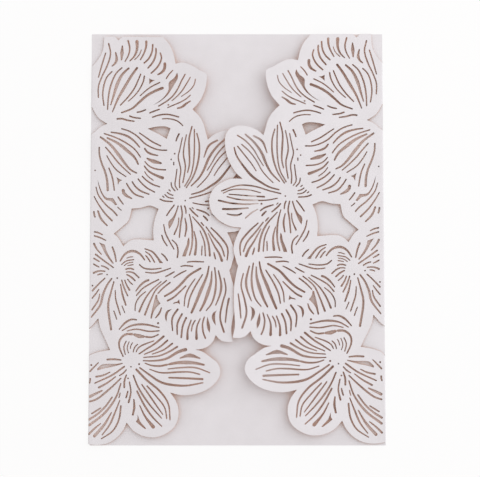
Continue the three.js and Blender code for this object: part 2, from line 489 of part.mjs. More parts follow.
// Where the panel ends in a straight edge of its own, beside the fold's cut-away stretches.
function tabSpans(side) {
  const ends = FOLD_SPANS.flat().map((up) => heightOnCard(side, up));
  const marks = [-CARD_HEIGHT / 2 - TAB_RELIEF, ...ends, CARD_HEIGHT / 2 + TAB_RELIEF];
  const tabs = [];
  for (let i = 0; i < marks.length; i += 2) tabs.push([marks[i] + TAB_RELIEF, marks[i + 1] - TAB_RELIEF]);
  return tabs.filter(([low, high]) => high - low > SHORTEST_TAB);
}

function rectangle(x1, x2, y1, y2) {
  return [[x1, y1], [x2, y1], [x2, y2], [x1, y2]].map(([x, y]) => new THREE.Vector2(x, y));
}

// One side of the sheet: the turn at the fold, the panel's edge beside it, and the lace flap.
function addFlap(sheet, flap) {
  for (const span of FOLD_SPANS) {
    const [low, high] = span.map((up) => heightOnCard(flap.side, up));
    for (let i = 0; i < FOLD_STEPS; i++) {
      const near = flap.side * (PANEL_EDGE + (flap.arcLength * i) / FOLD_STEPS);
      const far = flap.side * (PANEL_EDGE + (flap.arcLength * (i + 1)) / FOLD_STEPS);
      sheet.addRegion(flap, rectangle(near, far, low, high));
    }
  }
  for (const [low, high] of tabSpans(flap.side)) {
    sheet.addRegion(flap, rectangle(flap.side * PANEL_EDGE, (flap.side * CARD_WIDTH) / 2, low, high), [], unbent);
  }
  const windows = WINDOWS.map((outline) => outline.map((point) => onSheet(flap, point)));
  const slits = SLITS.map((slit) => slitOutline(flap, slit));
  sheet.addRegion(flap, flapOutline(flap), [...windows, ...slits]);
}

// The back panel, with a corner at each end of a fold or of a straight edge beside it.
function addPanel(sheet, flap) {
  const corners = (side) => {
    const ends = FOLD_SPANS.flat().map((up) => heightOnCard(side, up));
    const heights = [...ends, ...tabSpans(side).flat(), -CARD_HEIGHT / 2, CARD_HEIGHT / 2];
    const rising = [...new Set(heights)].sort((a, b) => a - b);
    return rising.map((y) => new THREE.Vector2(side * PANEL_EDGE, y));
  };
  sheet.addFan(flap, [...corners(1), ...corners(-1).reverse()], new THREE.Vector2(0, 0));
}

// The right flap rises just enough to pass over the left flap's furthest petal.
function rightFlapTilt(leftFlap) {
  const furthest = PETAL_EDGE.flat().map((point) => onSheet(leftFlap, point));
  const tip = Math.max(...furthest.map((point) => folded(leftFlap, point).at.x));
  const rise = (leftFlap.endX + tip) * Math.tan(leftFlap.tilt) + CARD_THICKNESS + FLAP_GAP;
  return Math.atan2(rise, leftFlap.endX - tip);
}

const leftFlap = makeFlap(-1, LEFT_FLAP_TILT);
const rightFlap = makeFlap(1, rightFlapTilt(leftFlap));

const sheet = new Sheet();
addPanel(sheet, leftFlap);
addFlap(sheet, leftFlap);
addFlap(sheet, rightFlap);

const pearlCard = new THREE.MeshStandardMaterial({ color: 0xe4e0e4, roughness: 0.55, metalness: 0 });
const wrap = new THREE.Mesh(sheet.geometry(), pearlCard);
wrap.name = "folded_wrap";

const invitation = new THREE.Group();
invitation.add(wrap);

export default invitation;
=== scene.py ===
import math

import bpy
import numpy as np
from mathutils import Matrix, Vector
from mathutils.geometry import delaunay_2d_cdt


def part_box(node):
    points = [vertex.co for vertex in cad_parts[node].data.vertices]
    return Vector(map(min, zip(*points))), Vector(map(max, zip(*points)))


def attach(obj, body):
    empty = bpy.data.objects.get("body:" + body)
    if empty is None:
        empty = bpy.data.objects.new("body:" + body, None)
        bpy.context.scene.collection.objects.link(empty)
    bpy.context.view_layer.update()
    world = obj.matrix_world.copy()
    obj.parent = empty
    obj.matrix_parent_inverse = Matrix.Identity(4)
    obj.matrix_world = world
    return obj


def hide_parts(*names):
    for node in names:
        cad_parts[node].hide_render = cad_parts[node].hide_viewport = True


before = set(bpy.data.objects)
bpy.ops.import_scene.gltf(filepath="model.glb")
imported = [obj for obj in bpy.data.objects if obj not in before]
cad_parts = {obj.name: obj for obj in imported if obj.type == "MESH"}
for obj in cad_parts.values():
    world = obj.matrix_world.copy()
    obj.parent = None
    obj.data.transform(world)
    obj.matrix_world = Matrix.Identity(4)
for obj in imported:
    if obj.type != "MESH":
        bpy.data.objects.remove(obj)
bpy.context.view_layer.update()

# The wrap is one sheet of pearl card. It is drawn here in millimetres, flat, with the laser cuts as
# holes, then folded at both sides and given its thickness. Side 1 is the right flap, -1 the left.
MM = 0.001
_, high_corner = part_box("folded_wrap")
HALF_WIDTH = high_corner.x / MM
HALF_HEIGHT = high_corner.y / MM
THICKNESS = 0.3
EDGE_WEAR = 0.03  # how far each face sinks at the sheet's edges

# The folds, and the tabs of the panel that show beside them where the lace is cut away
FOLD_RADIUS = 0.45  # of the middle of the sheet
FOLD_COLUMNS = 8
ARC = math.pi * FOLD_RADIUS
LIP = FOLD_RADIUS + THICKNESS / 2  # how far the fold reaches past the panel's flat part
PANEL_EDGE = HALF_WIDTH - LIP
TAB_RELIEF = 0.3
TAB_REACH = LIP + TAB_RELIEF / 4
SHORTEST_TAB = 1
TAB_SLACK = 0.01

# The flaps rise evenly from their folds, and their petals also curl up towards the top and the foot.
FLAP_SPAN = 75
SLOPE = {1: 0.029, -1: 0.016}
LIFT = {1: 6.5, -1: 5}  # at the full span from the fold and one reach above or below the middle
LIFT_MIDDLE = 85
LIFT_REACH = 60
LIFT_EASING = 0.35

# Both flaps sink a little per millimetre from their folds, and the right one lies a trace further in.
SAG = {1: 0.0045, -1: 0.01}
RIGHT_SHIFT = 0.12

# The left flap was folded a little low and slightly askew. It hangs lowest at the middle height and
# less by the eased amount at one reach above or below. Its shift from the fold and its width both
# shrink with each millimetre below the top of the card.
LEFT_DROP = 1.75
LEFT_DROP_EASED = 1
LEFT_DROP_MIDDLE = 105
LEFT_DROP_REACH = 95
LEFT_SHIFT = 0.76
LEFT_LEAN = 0.0112
LEFT_NARROWING = 0.017
LEFT_TWIST = 0.0002

# Below the middle, the left flap's edge reaches in under the right one's.
SEAM_OVERLAP = 1.1
SEAM_EDGE = 62.6
SEAM_MARGIN = 1.5
SEAM_MIDDLE = 64
SEAM_REACH = 9

# How finely the cuts and the sheet are faceted
EDGE_STEP = 0.7
SLIT_STEP = 1.1
CURVE_SAMPLES = 8
CAP_SHARES = (0, 0.1, 0.45, 1)  # rounding of a slit's ends, in shares of its half width
PIN_HOLE_CORNERS = 10
SHARP_TURN = math.radians(48)
FLAP_GRID = 3
PANEL_GRID = 12
INSIDE_ONLY = 1  # the triangulation's output: what the loops enclose
MERGE_DISTANCE = 1e-4
NORMAL_NUDGE = 0.01
SHARP_EDGE = math.radians(30)

# Camera: where the photograph has the card's middle and how large it shows the card
IMAGE_WIDTH = 480
IMAGE_HEIGHT = 477
CARD_MIDDLE = (237.0, 237.3)
PIXELS_PER_MM = 2.3126
CAMERA_ELEVATION = math.radians(86.5)
CAMERA_DISTANCE = 431
CAMERA_FOOT = np.array([0, -CAMERA_DISTANCE * math.cos(CAMERA_ELEVATION)])
CAMERA_HEIGHT = CAMERA_DISTANCE * math.sin(CAMERA_ELEVATION)
CLIP_START = 0.01
SENSOR = 36

# Looks. Colours are linear red, green and blue. A noise is given by its size in millimetres and its
# detail, a bump by its depth in millimetres and its strength, and a ramp by its two places.
WHITE = (1, 1, 1)
PEARL_LIGHT = (0.80, 0.78, 0.81)
PEARL_SHADE = (0.75, 0.73, 0.755)
PEARL_GLOSS = {"Sheen Weight": 0.15, "Sheen Roughness": 0.4, "Coat Weight": 0.12, "Coat Roughness": 0.35}
MOTTLING_NOISE = (9, 3)
MOTTLING_RAMP = (0.35, 0.65)
GRAIN_NOISE = (0.35, 2)
GRAIN_RAMP = (0.3, 0.7)
GRAIN_SHARE = 0.5
ROUGHNESS_NOISE = (0.5, 2)
ROUGHNESS_RANGE = (0.38, 0.55)
PEARL_BUMP_NOISE = (0.25, 3)
PEARL_BUMP = (0.01, 0.35)
PAINTED_SHADE_TAN = (0.98, 0.72, 0.57)  # painted shade, warmed to a laser-smoke tan: what the card's colour is multiplied by in its most hidden places
PAINTED_SHADE_REACH_MM = 6
PAINTED_SHADE_RAMP = (0.3, 0.8)
# Walls inside the cuts: partly real laser burn, partly painted shade, as the outline's walls stay plain.
WALL_BURN_AND_SHADE_DARK = (0.31, 0.25, 0.225)
WALL_BURN_AND_SHADE_LIGHT = (0.54, 0.47, 0.44)
SCORCH_NOISE = (1.2, 3)
SCORCH_RAMP = (0.35, 0.65)
SCORCH_ROUGHNESS = 0.8
SCORCH_BUMP_NOISE = (0.1, 2)
SCORCH_BUMP = (0.01, 0.4)

# The floor and the light
FLOOR_COLOUR = (0.95, 0.95, 0.95)
FLOOR_ROUGHNESS = 0.9
FLOOR_GLOW_SHARE = 0.8
FLOOR_REACH = 3
FLOOR_GAP_MM = 0.05
KEY_DIRECTION = (0.7, 0.5, 0.6)
KEY_DISTANCE = 1.2
KEY_SIZE = 2.0
KEY_STRENGTH = 0.74
KEY_COLOUR = (0.95, 0.98, 1.0)
FILL_COLOUR = (1.0, 0.96, 0.945)
FILL_STRENGTH = 0.76

# The lace is drawn as it lies on the closed card. Each point gives the distance in from the fold and
# the height above the foot of the card.

# Heights between which the sheet turns round at the fold. Elsewhere the lace is cut away there.
FOLD_SPANS = [(1.6, 38.1), (50.9, 135.3), (147.5, 165)]

# The flap's edge from the top of the fold, over the petals, to its foot. Each row runs smoothly on
# from the last point of the row before it, and ends in a sharp corner.
PETAL_EDGE = [
    [(0, 165)],
    [(2, 167.5), (4.2, 171.4), (4.9, 178)],
    [(9.6, 178)],
    [(11.2, 176.4)],
    [(13, 178)],
    [(31, 178)],
    [(34, 174.5), (35.7, 171), (36.8, 166.5)],
    [
        (40, 167), (43.5, 166), (47.5, 163.8), (50.6, 162.2), (50.9, 160.5), (50, 155), (48, 150.5),
        (44.8, 146.7),
    ],
    [(48, 143.5), (49.8, 140.5), (51, 136.5), (51.9, 133.6)],
    [
        (55, 136), (59, 137.5), (62.5, 137.8), (66, 136.8), (68, 134.5), (68.6, 131), (67.5, 124),
        (64, 117.5), (61, 114.6),
    ],
    [(66, 114.6), (70, 113), (73.5, 110.2), (75.3, 106.5), (75.1, 102.5), (74, 99.4)],
    [(70.4, 96.1), (66.3, 94.1), (61.6, 93.4)],
    [(63.4, 89.8), (64.7, 86), (64.8, 83), (64.0, 80.1)],
    [(63.6, 78.5), (62.9, 77)],
    [(63.9, 72.5), (64.6, 68), (64.7, 60), (64.4, 55.5), (64.3, 51), (65.2, 46.1)],
    [(62.5, 46), (60, 46.6), (57.5, 48.9)],
    [(56.6, 46.5), (54.6, 44.3), (51.6, 42.9), (48.5, 42.5)],
    [
        (51.5, 41.8), (55.8, 39), (58.6, 36.8), (59.9, 34), (59.8, 31.4), (57.6, 28), (54, 25.2),
        (50, 23.6), (45, 22.8), (41.5, 23), (37.7, 23.9),
    ],
    [
        (40.1, 20.7), (41.5, 17.2), (41.6, 13.5), (40.2, 9.5), (36.9, 6.5), (32, 4.6), (27, 4.8),
        (22.1, 6.9), (18.5, 10.7),
    ],
    [(17, 7.5), (14.4, 4.4), (10.5, 1.9), (5.9, 0.9), (2.7, 1.1), (0, 1.6)],
]

# The two notches at the fold, each from its lower end to its upper end
LOWER_NOTCH = [
    [(0, 38.1)],
    [(1.6, 39.7), (5, 41), (10.4, 42)],
    [(8.3, 46.3), (5.8, 51.5), (4.8, 55.7)],
    [(3.2, 53.8), (1.6, 52), (0, 50.9)],
]
UPPER_NOTCH = [
    [(0, 135.3)],
    [(1.5, 136.4), (4, 138.6), (7, 140)],
    [(3.2, 142.4), (1.3, 145), (0, 147.5)],
]

# Openings with an outline of their own: two windows, and the broad cuts of leaves and petals
WINDOWS = [
    [(25, 138.1), (29, 139), (33, 139.1), (35.2, 138.3), (33.6, 133.7), (30, 135.7)],
    [
        (18.7, 103.3), (22.7, 103.7), (26.7, 104.7), (30.7, 103.3), (29.1, 98.8), (28.5, 94),
        (28.8, 89.6), (20, 89.9), (17.5, 88.9), (15.3, 86.9), (12.8, 90.7), (10.9, 92.3), (15, 95.8),
        (17.4, 98.2),
    ],
    [(25.2, 160), (26.3, 159.4), (27.8, 159.2), (26.4, 158.4), (25.2, 157.3), (25.3, 158.7)],
    [
        (37.6, 162.6), (38, 160.5), (36.6, 157.6), (35.2, 155.2), (33.5, 152.7), (30.5, 150.1),
        (27.2, 148.3), (31.5, 151.4), (33.9, 155), (34, 158.2), (36.3, 160.3),
    ],
    [(11.6, 117), (12.8, 116.1), (14.2, 115.6), (13, 114.9), (12.3, 113.4), (12.1, 115.2)],
    [
        (3.2, 115.8), (4.4, 112.4), (5.7, 109.6), (7.2, 108), (10.3, 107.7), (12.2, 104.9),
        (11.3, 104.7), (9.4, 106.4), (7, 107), (5.2, 109.3), (3.9, 112.3),
    ],
    [
        (39.2, 105), (38.2, 101.9), (37, 99.6), (35.3, 97.8), (35.2, 96.2), (35.6, 94.6), (36.8, 96.5),
        (37.8, 98.8), (38.7, 101.3), (39.7, 104.6),
    ],
    [
        (44.6, 91.2), (44.9, 88.5), (44.2, 85.8), (43.3, 82.8), (41.7, 82.8), (42.5, 85.2),
        (43.6, 87.8), (44.1, 90.5),
    ],
    [
        (4.4, 88.5), (7.1, 87.5), (7.6, 85.5), (8.9, 82.9), (11.2, 79.6), (10.8, 79.2), (8.5, 81.8),
        (6.8, 84.4), (5.6, 86.7),
    ],
    [
        (30.9, 66.2), (31.2, 64.2), (32.5, 62.3), (31, 60.9), (29.6, 58.8), (28.7, 55.7), (28.1, 55.9),
        (28.6, 58.9), (29.4, 62.5), (30.2, 65.9),
    ],
    [(40.8, 64.3), (41, 63.3), (41.2, 62), (40.2, 62.6), (38.1, 62.2), (38.4, 62.8), (40.1, 63.3)],
    [(57.9, 59.7), (57.2, 58.6), (57.1, 56), (57.5, 53), (56.2, 54.8), (55.6, 56.6), (56, 58.3)],
    [(53.6, 56.8), (54.5, 54.3), (55, 52.3), (54.8, 49.9), (53.8, 51.5), (53.3, 54)],
    [(37.7, 60), (36.1, 58.5), (35.6, 57), (35.4, 54.5), (34.8, 55.5), (34.6, 57.5), (35.6, 59.3)],
    [(16.2, 36.5), (13, 36), (7, 35.7), (4.8, 33.9), (4.9, 33.1), (7.5, 33.9), (11, 34.6), (16.1, 36)],
    [
        (23.3, 14.3), (23.9, 12.8), (24.5, 11.4), (27.4, 8.2), (26.8, 8), (24.3, 9.8), (22.6, 11.2),
        (23.3, 12.2),
    ],
    [(31.7, 81.3), (32.5, 80.7), (33.2, 79.8), (31.6, 79.8), (31, 81)],
]

# Round pin holes: place and diameter
PIN_HOLES = [
    (34, 148.5, 0.8), (2, 119.7, 0.7), (35.8, 124.8, 0.7), (42.5, 107, 0.7), (8.3, 74.6, 0.7),
    (12.9, 73.1, 0.8), (52.8, 103.7, 0.9), (1.9, 69.7, 0.8), (31.6, 53.8, 1), (18.7, 29.8, 0.8),
    (19.9, 34.8, 0.7), (23.5, 36, 0.9), (37.3, 127.3, 0.8), (2.1, 35.4, 0.9),
]

# Slits, each with its width at its start, middle and end, then the points its middle line runs through
SLITS = [
    (0.6, 0.7, 0.6, 5.7, 171, 4.2, 166, 2.6, 160),
    (0.7, 0.7, 0.6, 6.8, 175.2, 7.8, 170.5, 6.5, 165.5, 4, 160, 2.7, 156, 2.8, 151.2),
    (0.5, 1.3, 0.5, 10, 171.3, 10.6, 168, 9.9, 166.3, 8.4, 165),
    (0.5, 1.6, 0.5, 13, 174.2, 12.9, 171, 12.7, 167.6),
    (0.8, 0.7, 0.5, 15.4, 176.6, 16.3, 173, 15.8, 170, 14.2, 167),
    (1.6, 1, 0.5, 19.4, 176.6, 19.5, 172.5, 18.4, 169.5, 16.3, 167.3),
    (0.4, 0.5, 0.5, 21.5, 172.5, 20.5, 170, 18.4, 167.9),
    (1.1, 0.8, 0.6, 23.6, 176.5, 23.5, 173.5, 22.5, 170.5, 21, 167.8),
    (0.7, 0.8, 0.7, 26.5, 175, 26.2, 171.5, 24.8, 168.5, 22.6, 166.4),
    (0.7, 0.9, 0.7, 27.9, 173.3, 28, 171, 27, 167.5, 24.4, 164.2),
    (0.6, 0.8, 0.7, 29.8, 171.3, 30.5, 169, 29.5, 166, 27.8, 163.8, 25.8, 162),
    (1.2, 1.3, 0.6, 32, 167, 32, 164.5, 31, 162.8, 28.8, 161.5),
    (0.6, 0.7, 0.6, 8.8, 162.9, 6.5, 160.5, 5.2, 157, 4.7, 152.5, 5.4, 147.7),
    (0.6, 0.8, 0.6, 13.2, 164.6, 10.5, 162, 8.3, 157, 7.3, 152, 7, 146),
    (0.8, 1.5, 0.5, 16.3, 164.5, 13.2, 161.5, 11, 157, 9.5, 152, 8.3, 148),
    (1.0, 1.3, 0.5, 20, 164.8, 17.3, 161, 14.4, 156, 11.7, 151.3, 9.1, 145),
    (0.6, 0.7, 0.6, 21.5, 162, 20.3, 159, 18.7, 155.5, 15.8, 151.5, 12.5, 148),
    (0.7, 0.6, 0.5, 23.1, 161.2, 22.6, 158.5, 20.8, 154.8, 18.5, 152, 16, 149.8),
    (0.6, 0.6, 0.5, 30.2, 158.3, 26.5, 156.5, 24, 154.7, 21.2, 152.2),
    (1.2, 1.1, 0.6, 31.8, 156, 28, 154.5, 24.5, 152.5, 21, 149.5, 18, 146.8, 13, 144.8),
    (0.6, 0.7, 0.6, 19.9, 145.1, 22, 145.5, 24.2, 146.4),
    (0.7, 0.7, 0.6, 16.6, 143.6, 18.5, 142.9, 22, 142.5),
    (0.8, 0.8, 0.6, 11, 142.1, 13.3, 142.3, 16, 141.6, 19.2, 141.2),
    (0.6, 0.7, 0.6, 25.5, 144.8, 28, 145.8, 30.3, 146.6),
    (0.6, 0.6, 0.5, 32.7, 159.7, 34, 161.8, 35.8, 163.7),
    (0.6, 0.7, 0.6, 41.3, 162.1, 39.6, 159, 38, 155.5, 36, 152.5, 33.5, 150.3, 29.5, 147.8),
    (0.5, 0.6, 0.5, 43.6, 160.8, 42, 158, 39.8, 154.5, 37.5, 152, 35.4, 150.2),
    (0.5, 0.5, 0.4, 45.8, 160, 45.3, 157.5, 43.5, 155, 39.6, 152.1),
    (0.5, 0.6, 0.5, 43.9, 153, 42, 151.3, 39.5, 149.8, 36, 148.3, 33.5, 147.2),
    (0.5, 1.1, 0.6, 44, 150.4, 42, 149.2, 40, 147.6, 37.8, 147),
    (0.6, 0.7, 0.6, 26.8, 143, 30, 144, 33, 144.4, 36, 144, 39, 143.2),
    (0.5, 0.6, 0.5, 31.3, 142.4, 34, 142.5, 37, 142, 39, 141, 40.8, 139.4),
    (0.8, 1.4, 0.6, 3.8, 134.4, 8.5, 131, 12, 127, 15.5, 122.5, 18, 120, 20.8, 118.6),
    (0.7, 1.5, 0.7, 6.8, 134, 12, 131.5, 16, 128.5, 19.5, 125.5, 21.3, 122.3),
    (0.6, 0.7, 0.6, 5.5, 135.8, 11, 134, 15.5, 131.8, 19.5, 129, 22.2, 125.5),
    (0.6, 1, 0.6, 8.5, 136.4, 13, 135.7, 16.5, 134.5, 19.5, 132.3, 21.8, 129.8),
    (0.6, 0.7, 0.6, 13.2, 138, 17, 136.8, 20.5, 134.7, 24, 131.5, 28, 129.5, 31, 128.8, 34, 128.8),
    (0.5, 0.7, 0.6, 21.2, 136.3, 24, 134.5, 27, 132.5, 31.3, 130.5),
    (0.6, 0.7, 0.5, 6.3, 130, 9, 127, 11.5, 124, 14.5, 121, 18, 118),
    (0.5, 0.6, 0.5, 7, 126.3, 9, 123, 11.5, 120, 16, 117),
    (0.7, 0.9, 1.1, 3.6, 130, 3.8, 126.5, 5, 122.5, 6.5, 119, 7.5, 115, 7.8, 110.7),
    (0.6, 0.7, 0.6, 8, 121, 9.5, 117.5, 10.3, 114, 10.8, 110.9),
    (0.7, 1, 0.5, 23.7, 129.7, 25, 128, 27, 127, 30, 126.4),
    (0.6, 1.8, 0.7, 24.8, 125.3, 27, 124.2, 31.7, 123),
    (0.5, 0.7, 0.6, 24, 123.9, 25.8, 122, 29, 120.6, 33.7, 120.2),
    (0.6, 0.9, 1.4, 23.7, 122, 26, 119.5, 29.5, 117.7, 32.8, 116.5),
    (0.5, 0.5, 0.5, 24, 119.5, 25.5, 117.5, 28.2, 115.5),
    (0.6, 0.7, 0.6, 22.9, 117.5, 25, 115.6, 28, 113.8, 31.2, 112.8),
    (0.6, 0.7, 0.6, 21.1, 116.4, 23, 114.2, 25.5, 112.2, 29, 110.4),
    (0.6, 0.8, 0.6, 18.5, 115.2, 20, 113, 22.5, 111, 26.5, 109.5),
    (0.6, 0.8, 0.6, 16, 114.4, 17.7, 111.8, 20, 109.5, 24, 108.2),
    (1.4, 1.4, 0.5, 14.6, 111.8, 15, 110, 16.5, 108.7, 18.8, 107.6),
    (0.5, 0.7, 0.7, 2.5, 112.7, 3.7, 109, 7.7, 104.3, 10.4, 102.2, 12.4, 100),
    (0.5, 0.7, 0.8, 1.7, 108.6, 3.5, 105.5, 6.7, 101.2, 10.3, 97.7),
    (0.6, 0.7, 0.5, 12.3, 108.5, 13.6, 106.7, 15, 105),
    (0.5, 0.5, 0.4, 12.3, 104, 13.2, 103.1, 14.2, 102.4),
    (0.8, 1, 0.6, 3.5, 102.4, 5.1, 98.7, 8.1, 95.6),
    (0.8, 0.8, 0.7, 1.8, 102.1, 2, 100.6, 2.5, 99.2),
    (0.8, 0.7, 0.6, 39.2, 136.2, 38.3, 134.4, 37.7, 132.6),
    (0.5, 0.6, 0.5, 37, 123.8, 37, 123, 37, 122.2),
    (0.5, 0.6, 0.6, 36, 115, 36.3, 113, 38, 111),
    (0.5, 0.6, 0.5, 35, 111.8, 35.4, 111.3, 36, 111),
    (0.5, 0.6, 0.5, 34.2, 110.6, 35.5, 109.7, 37.2, 109.2),
    (0.5, 0.6, 0.5, 33.2, 109.7, 34.8, 108.3, 37.4, 107.9),
    (0.5, 0.6, 0.5, 32.2, 109, 32.7, 108.5, 33.2, 108.2),
    (0.6, 0.7, 0.6, 31, 107.6, 33, 106.8, 37, 106.5),
    (
        0.5, 0.6, 0.6, 40.6, 134.5, 39.5, 128.9, 38.9, 125.8, 39.7, 122.6, 40.2, 120.1,
        39.7, 115.7, 39.9, 112.3,
    ),
    (0.5, 0.7, 0.6, 42.4, 135.8, 41.5, 131, 41.2, 127, 42.2, 122, 41.8, 118, 41.2, 114.5),
    (0.6, 0.9, 0.6, 44.8, 139.5, 43.6, 134, 43.8, 128, 44, 123, 43.2, 119),
    (0.6, 0.7, 0.6, 45.8, 138.2, 46, 132, 46, 127, 45.6, 122, 44.5, 117.5, 42, 113),
    (0.6, 0.9, 0.6, 46.9, 136.5, 48.1, 132, 48.2, 127, 47.5, 122.5, 45.8, 117.5, 42.7, 112.4),
    (0.5, 0.6, 0.5, 38.5, 120.8, 38.1, 117, 37.8, 113.5, 39.2, 111.4),
    (0.8, 1, 0.5, 56.5, 133.5, 52.5, 131, 50.3, 125.7),
    (0.8, 1.2, 0.6, 60, 134.2, 56, 130.5, 52.8, 126, 50.5, 120.5, 48.5, 117, 44.8, 113.2),
    (0.6, 0.7, 0.5, 63.4, 133.7, 59.5, 131, 56, 127, 54, 123.5, 51.8, 120),
    (0.6, 0.6, 0.5, 61.5, 129.7, 58, 126.5, 55, 122.5, 52.5, 118, 50, 115, 47.6, 112.7),
    (0.6, 0.6, 0.5, 63.3, 129, 60, 124.8, 57, 121, 55, 117.8),
    (0.6, 1.1, 0.6, 64.7, 128.5, 63.5, 124.5, 60.5, 120, 57, 115.8, 53, 113, 49.5, 111, 45, 109.7),
    (0.6, 0.7, 0.6, 44.2, 108, 50, 109.5, 54.5, 111, 60, 111.8, 64, 111.5, 70.3, 109.2),
    (0.5, 0.6, 0.5, 53, 108.4, 57, 109.5, 61.5, 110, 66, 109.8, 69.5, 108.3),
    (0.8, 0.6, 0.5, 51.2, 106.7, 57.5, 107.1, 62, 107.5, 67, 107.9),
    (0.5, 0.7, 0.6, 45.7, 106.1, 50, 105.3, 56.9, 105.2, 63.2, 105.7, 67.9, 106.9),
    (0.5, 0.8, 0.8, 54.1, 103.8, 60.1, 103.5, 66.3, 104.1, 71.7, 105.3),
    (0.6, 0.9, 1, 58.3, 101.9, 65.1, 101.4, 69.9, 101.5),
    (0.7, 0.9, 0.5, 61.2, 99.7, 62.9, 98.8, 65.1, 98.8, 67.9, 99.4),
    (0.6, 0.7, 0.6, 37.8, 105.2, 36, 102.9, 34.2, 100.2),
    (0.6, 0.8, 0.6, 40.6, 105, 41.3, 101.1, 40.8, 97.7, 40.2, 90.8),
    (0.6, 0.7, 0.5, 42.1, 105, 42.7, 103.6, 43, 101.2),
    (0.5, 0.6, 0.8, 39.8, 99.7, 39.6, 96.6, 37.8, 92),
    (0.5, 0.9, 0.6, 42.5, 99.6, 43.3, 95.5, 42.7, 91.2),
    (0.5, 0.9, 0.7, 44.4, 101.3, 45.7, 96.1, 46.1, 90.1, 45.8, 86.7, 44.9, 83.1),
    (0.6, 0.8, 0.6, 44.4, 103.9, 45.7, 102.4, 48.5, 100),
    (0.5, 0.5, 0.4, 45.5, 104.2, 45.9, 103.7, 46.4, 103.3),
    (0.6, 0.8, 0.6, 47.5, 103.3, 51.6, 101.9, 53.5, 100.5),
    (0.6, 0.9, 0.7, 50.6, 100.6, 51.8, 99.5, 52.8, 98.3),
    (0.4, 0.7, 0.5, 54.3, 101.4, 56.8, 100, 58.2, 98.9, 59.9, 97.3),
    (0.5, 0.9, 0.9, 45.8, 100.2, 51, 94.2, 53.3, 88.6, 54.1, 82.8),
    (0.5, 0.7, 0.5, 49.6, 97.8, 50.4, 96.9, 51.2, 96),
    (0.6, 0.8, 0.7, 51.9, 95.9, 55.4, 91.4, 59.1, 87, 60.7, 82.8),
    (0.6, 0.9, 0.6, 54.1, 95.5, 58.2, 91.7, 61.5, 87.6, 62.1, 85.1, 61.8, 81.2),
    (0.5, 0.9, 1.2, 46.7, 93.9, 47.8, 89, 47.4, 83.2),
    (0.5, 0.7, 0.6, 49.3, 94.2, 51.4, 89.2, 52.1, 82.9),
    (0.5, 0.6, 0.5, 50.5, 87.6, 50.4, 85.4, 50.4, 83.2),
    (0.5, 0.8, 1.2, 53, 93, 56.3, 87, 58.2, 84.2, 59.7, 80.6),
    (0.5, 0.8, 0.6, 55.8, 84.8, 56.2, 83.2, 56.7, 81.6),
    (0.5, 0.7, 0.5, 33.1, 96.7, 33.9, 93.1, 35.5, 89.9, 38.1, 85.7),
    (0.6, 0.7, 0.5, 32.3, 92.1, 33.1, 89.9, 35, 87.1),
    (0.5, 0.7, 0.7, 36.9, 90, 39, 88, 39.8, 85.2, 39.5, 82),
    (0.5, 0.7, 0.5, 43.8, 80.3, 46, 80.6, 51.6, 80.5),
    (0.5, 0.7, 0.6, 41, 78.4, 43, 78.8, 46.8, 78.5),
    (0.5, 0.7, 0.5, 25.3, 75.8, 27.7, 75.5, 30.4, 75.6, 36.9, 77.7),
    (0.6, 0.7, 0.5, 22.5, 79.2, 24.5, 77.6, 28.3, 77.1, 32.7, 77.6),
    (0.5, 0.7, 0.6, 34.3, 73.9, 36.3, 74.9, 38.5, 76.2),
    (0.5, 0.7, 0.5, 38, 73.5, 41, 75.4, 43.8, 76.8),
    (0.7, 0.7, 0.5, 2, 93.1, 4, 92.7, 6.1, 91.7),
    (0.7, 0.7, 0.5, 2, 91.4, 5, 90.5, 7.6, 89.3),
    (1, 0.7, 0.5, 2, 88.3, 3.4, 85.7, 5.7, 83.2),
    (0.8, 0.8, 0.6, 10.3, 86.8, 11.5, 83.7, 12.3, 80),
    (0.8, 0.7, 0.6, 2.7, 83.5, 6.9, 80.5, 11.3, 77.5),
    (0.7, 0.7, 0.5, 2, 81.7, 3.4, 80.9, 4.9, 80.1),
    (0.7, 0.7, 0.5, 2, 79.2, 3.4, 78.4, 4.9, 77.7),
    (0.5, 0.7, 0.6, 5.5, 78.4, 7.4, 77.9, 9.2, 76.7),
    (1, 0.7, 0.6, 1.9, 75.1, 4.5, 76.1, 7.6, 76),
    (0.5, 0.6, 0.5, 3.9, 74.3, 5.1, 74.8, 6.4, 74.9),
    (0.6, 0.7, 0.8, 7.6, 73.2, 5.2, 71, 1.7, 67.3),
    (0.7, 1.1, 0.6, 10.6, 73.1, 8.4, 70, 6.7, 66, 5.6, 61.5, 1.5, 55.9),
    (0.6, 1, 1, 11.5, 71.8, 10.2, 66.9, 9.1, 61.5, 10.7, 50.4),
    (0.5, 0.7, 0.6, 4.9, 68.3, 3.5, 66.3, 1.7, 64.1),
    (0.5, 0.8, 0.7, 5.2, 66.3, 4.7, 63.6, 1.7, 59),
    (0.5, 0.7, 0.6, 12.1, 68, 12.4, 64, 13.6, 60.2, 14.7, 57),
    (0.5, 0.6, 0.5, 11.6, 59.1, 12.4, 57.1, 13.1, 55.1),
    (0.5, 0.5, 0.4, 15.2, 61.3, 15.9, 59.7, 16.7, 57.9),
    (0.5, 0.9, 0.7, 14.4, 70.7, 15.4, 66, 17.1, 61.2),
    (0.6, 0.8, 0.6, 14.8, 72.5, 16.1, 68.8, 17.9, 65.2),
    (0.6, 0.7, 0.9, 16.2, 72.5, 17.1, 70.2, 18.7, 67.7),
    (0.5, 0.6, 0.5, 17.4, 72.8, 18.6, 71.4, 20, 70.3),
    (0.6, 0.8, 0.7, 16.9, 74.8, 19, 73.7, 21.1, 71.9),
    (0.5, 0.7, 0.7, 16.6, 75.7, 18.4, 75.9, 20.2, 75.4, 22.8, 73.2),
    (0.6, 0.8, 0.6, 16.3, 76.9, 18.6, 77.4, 20.4, 76.8),
    (0.4, 0.5, 0.5, 17.3, 78.5, 18.7, 78.8, 20.1, 79),
    (0.4, 0.5, 0.4, 15.7, 78.4, 17.4, 79.6, 20, 80.1),
    (0.5, 0.6, 0.5, 14.6, 78.9, 16.6, 80.5, 20.3, 81.2),
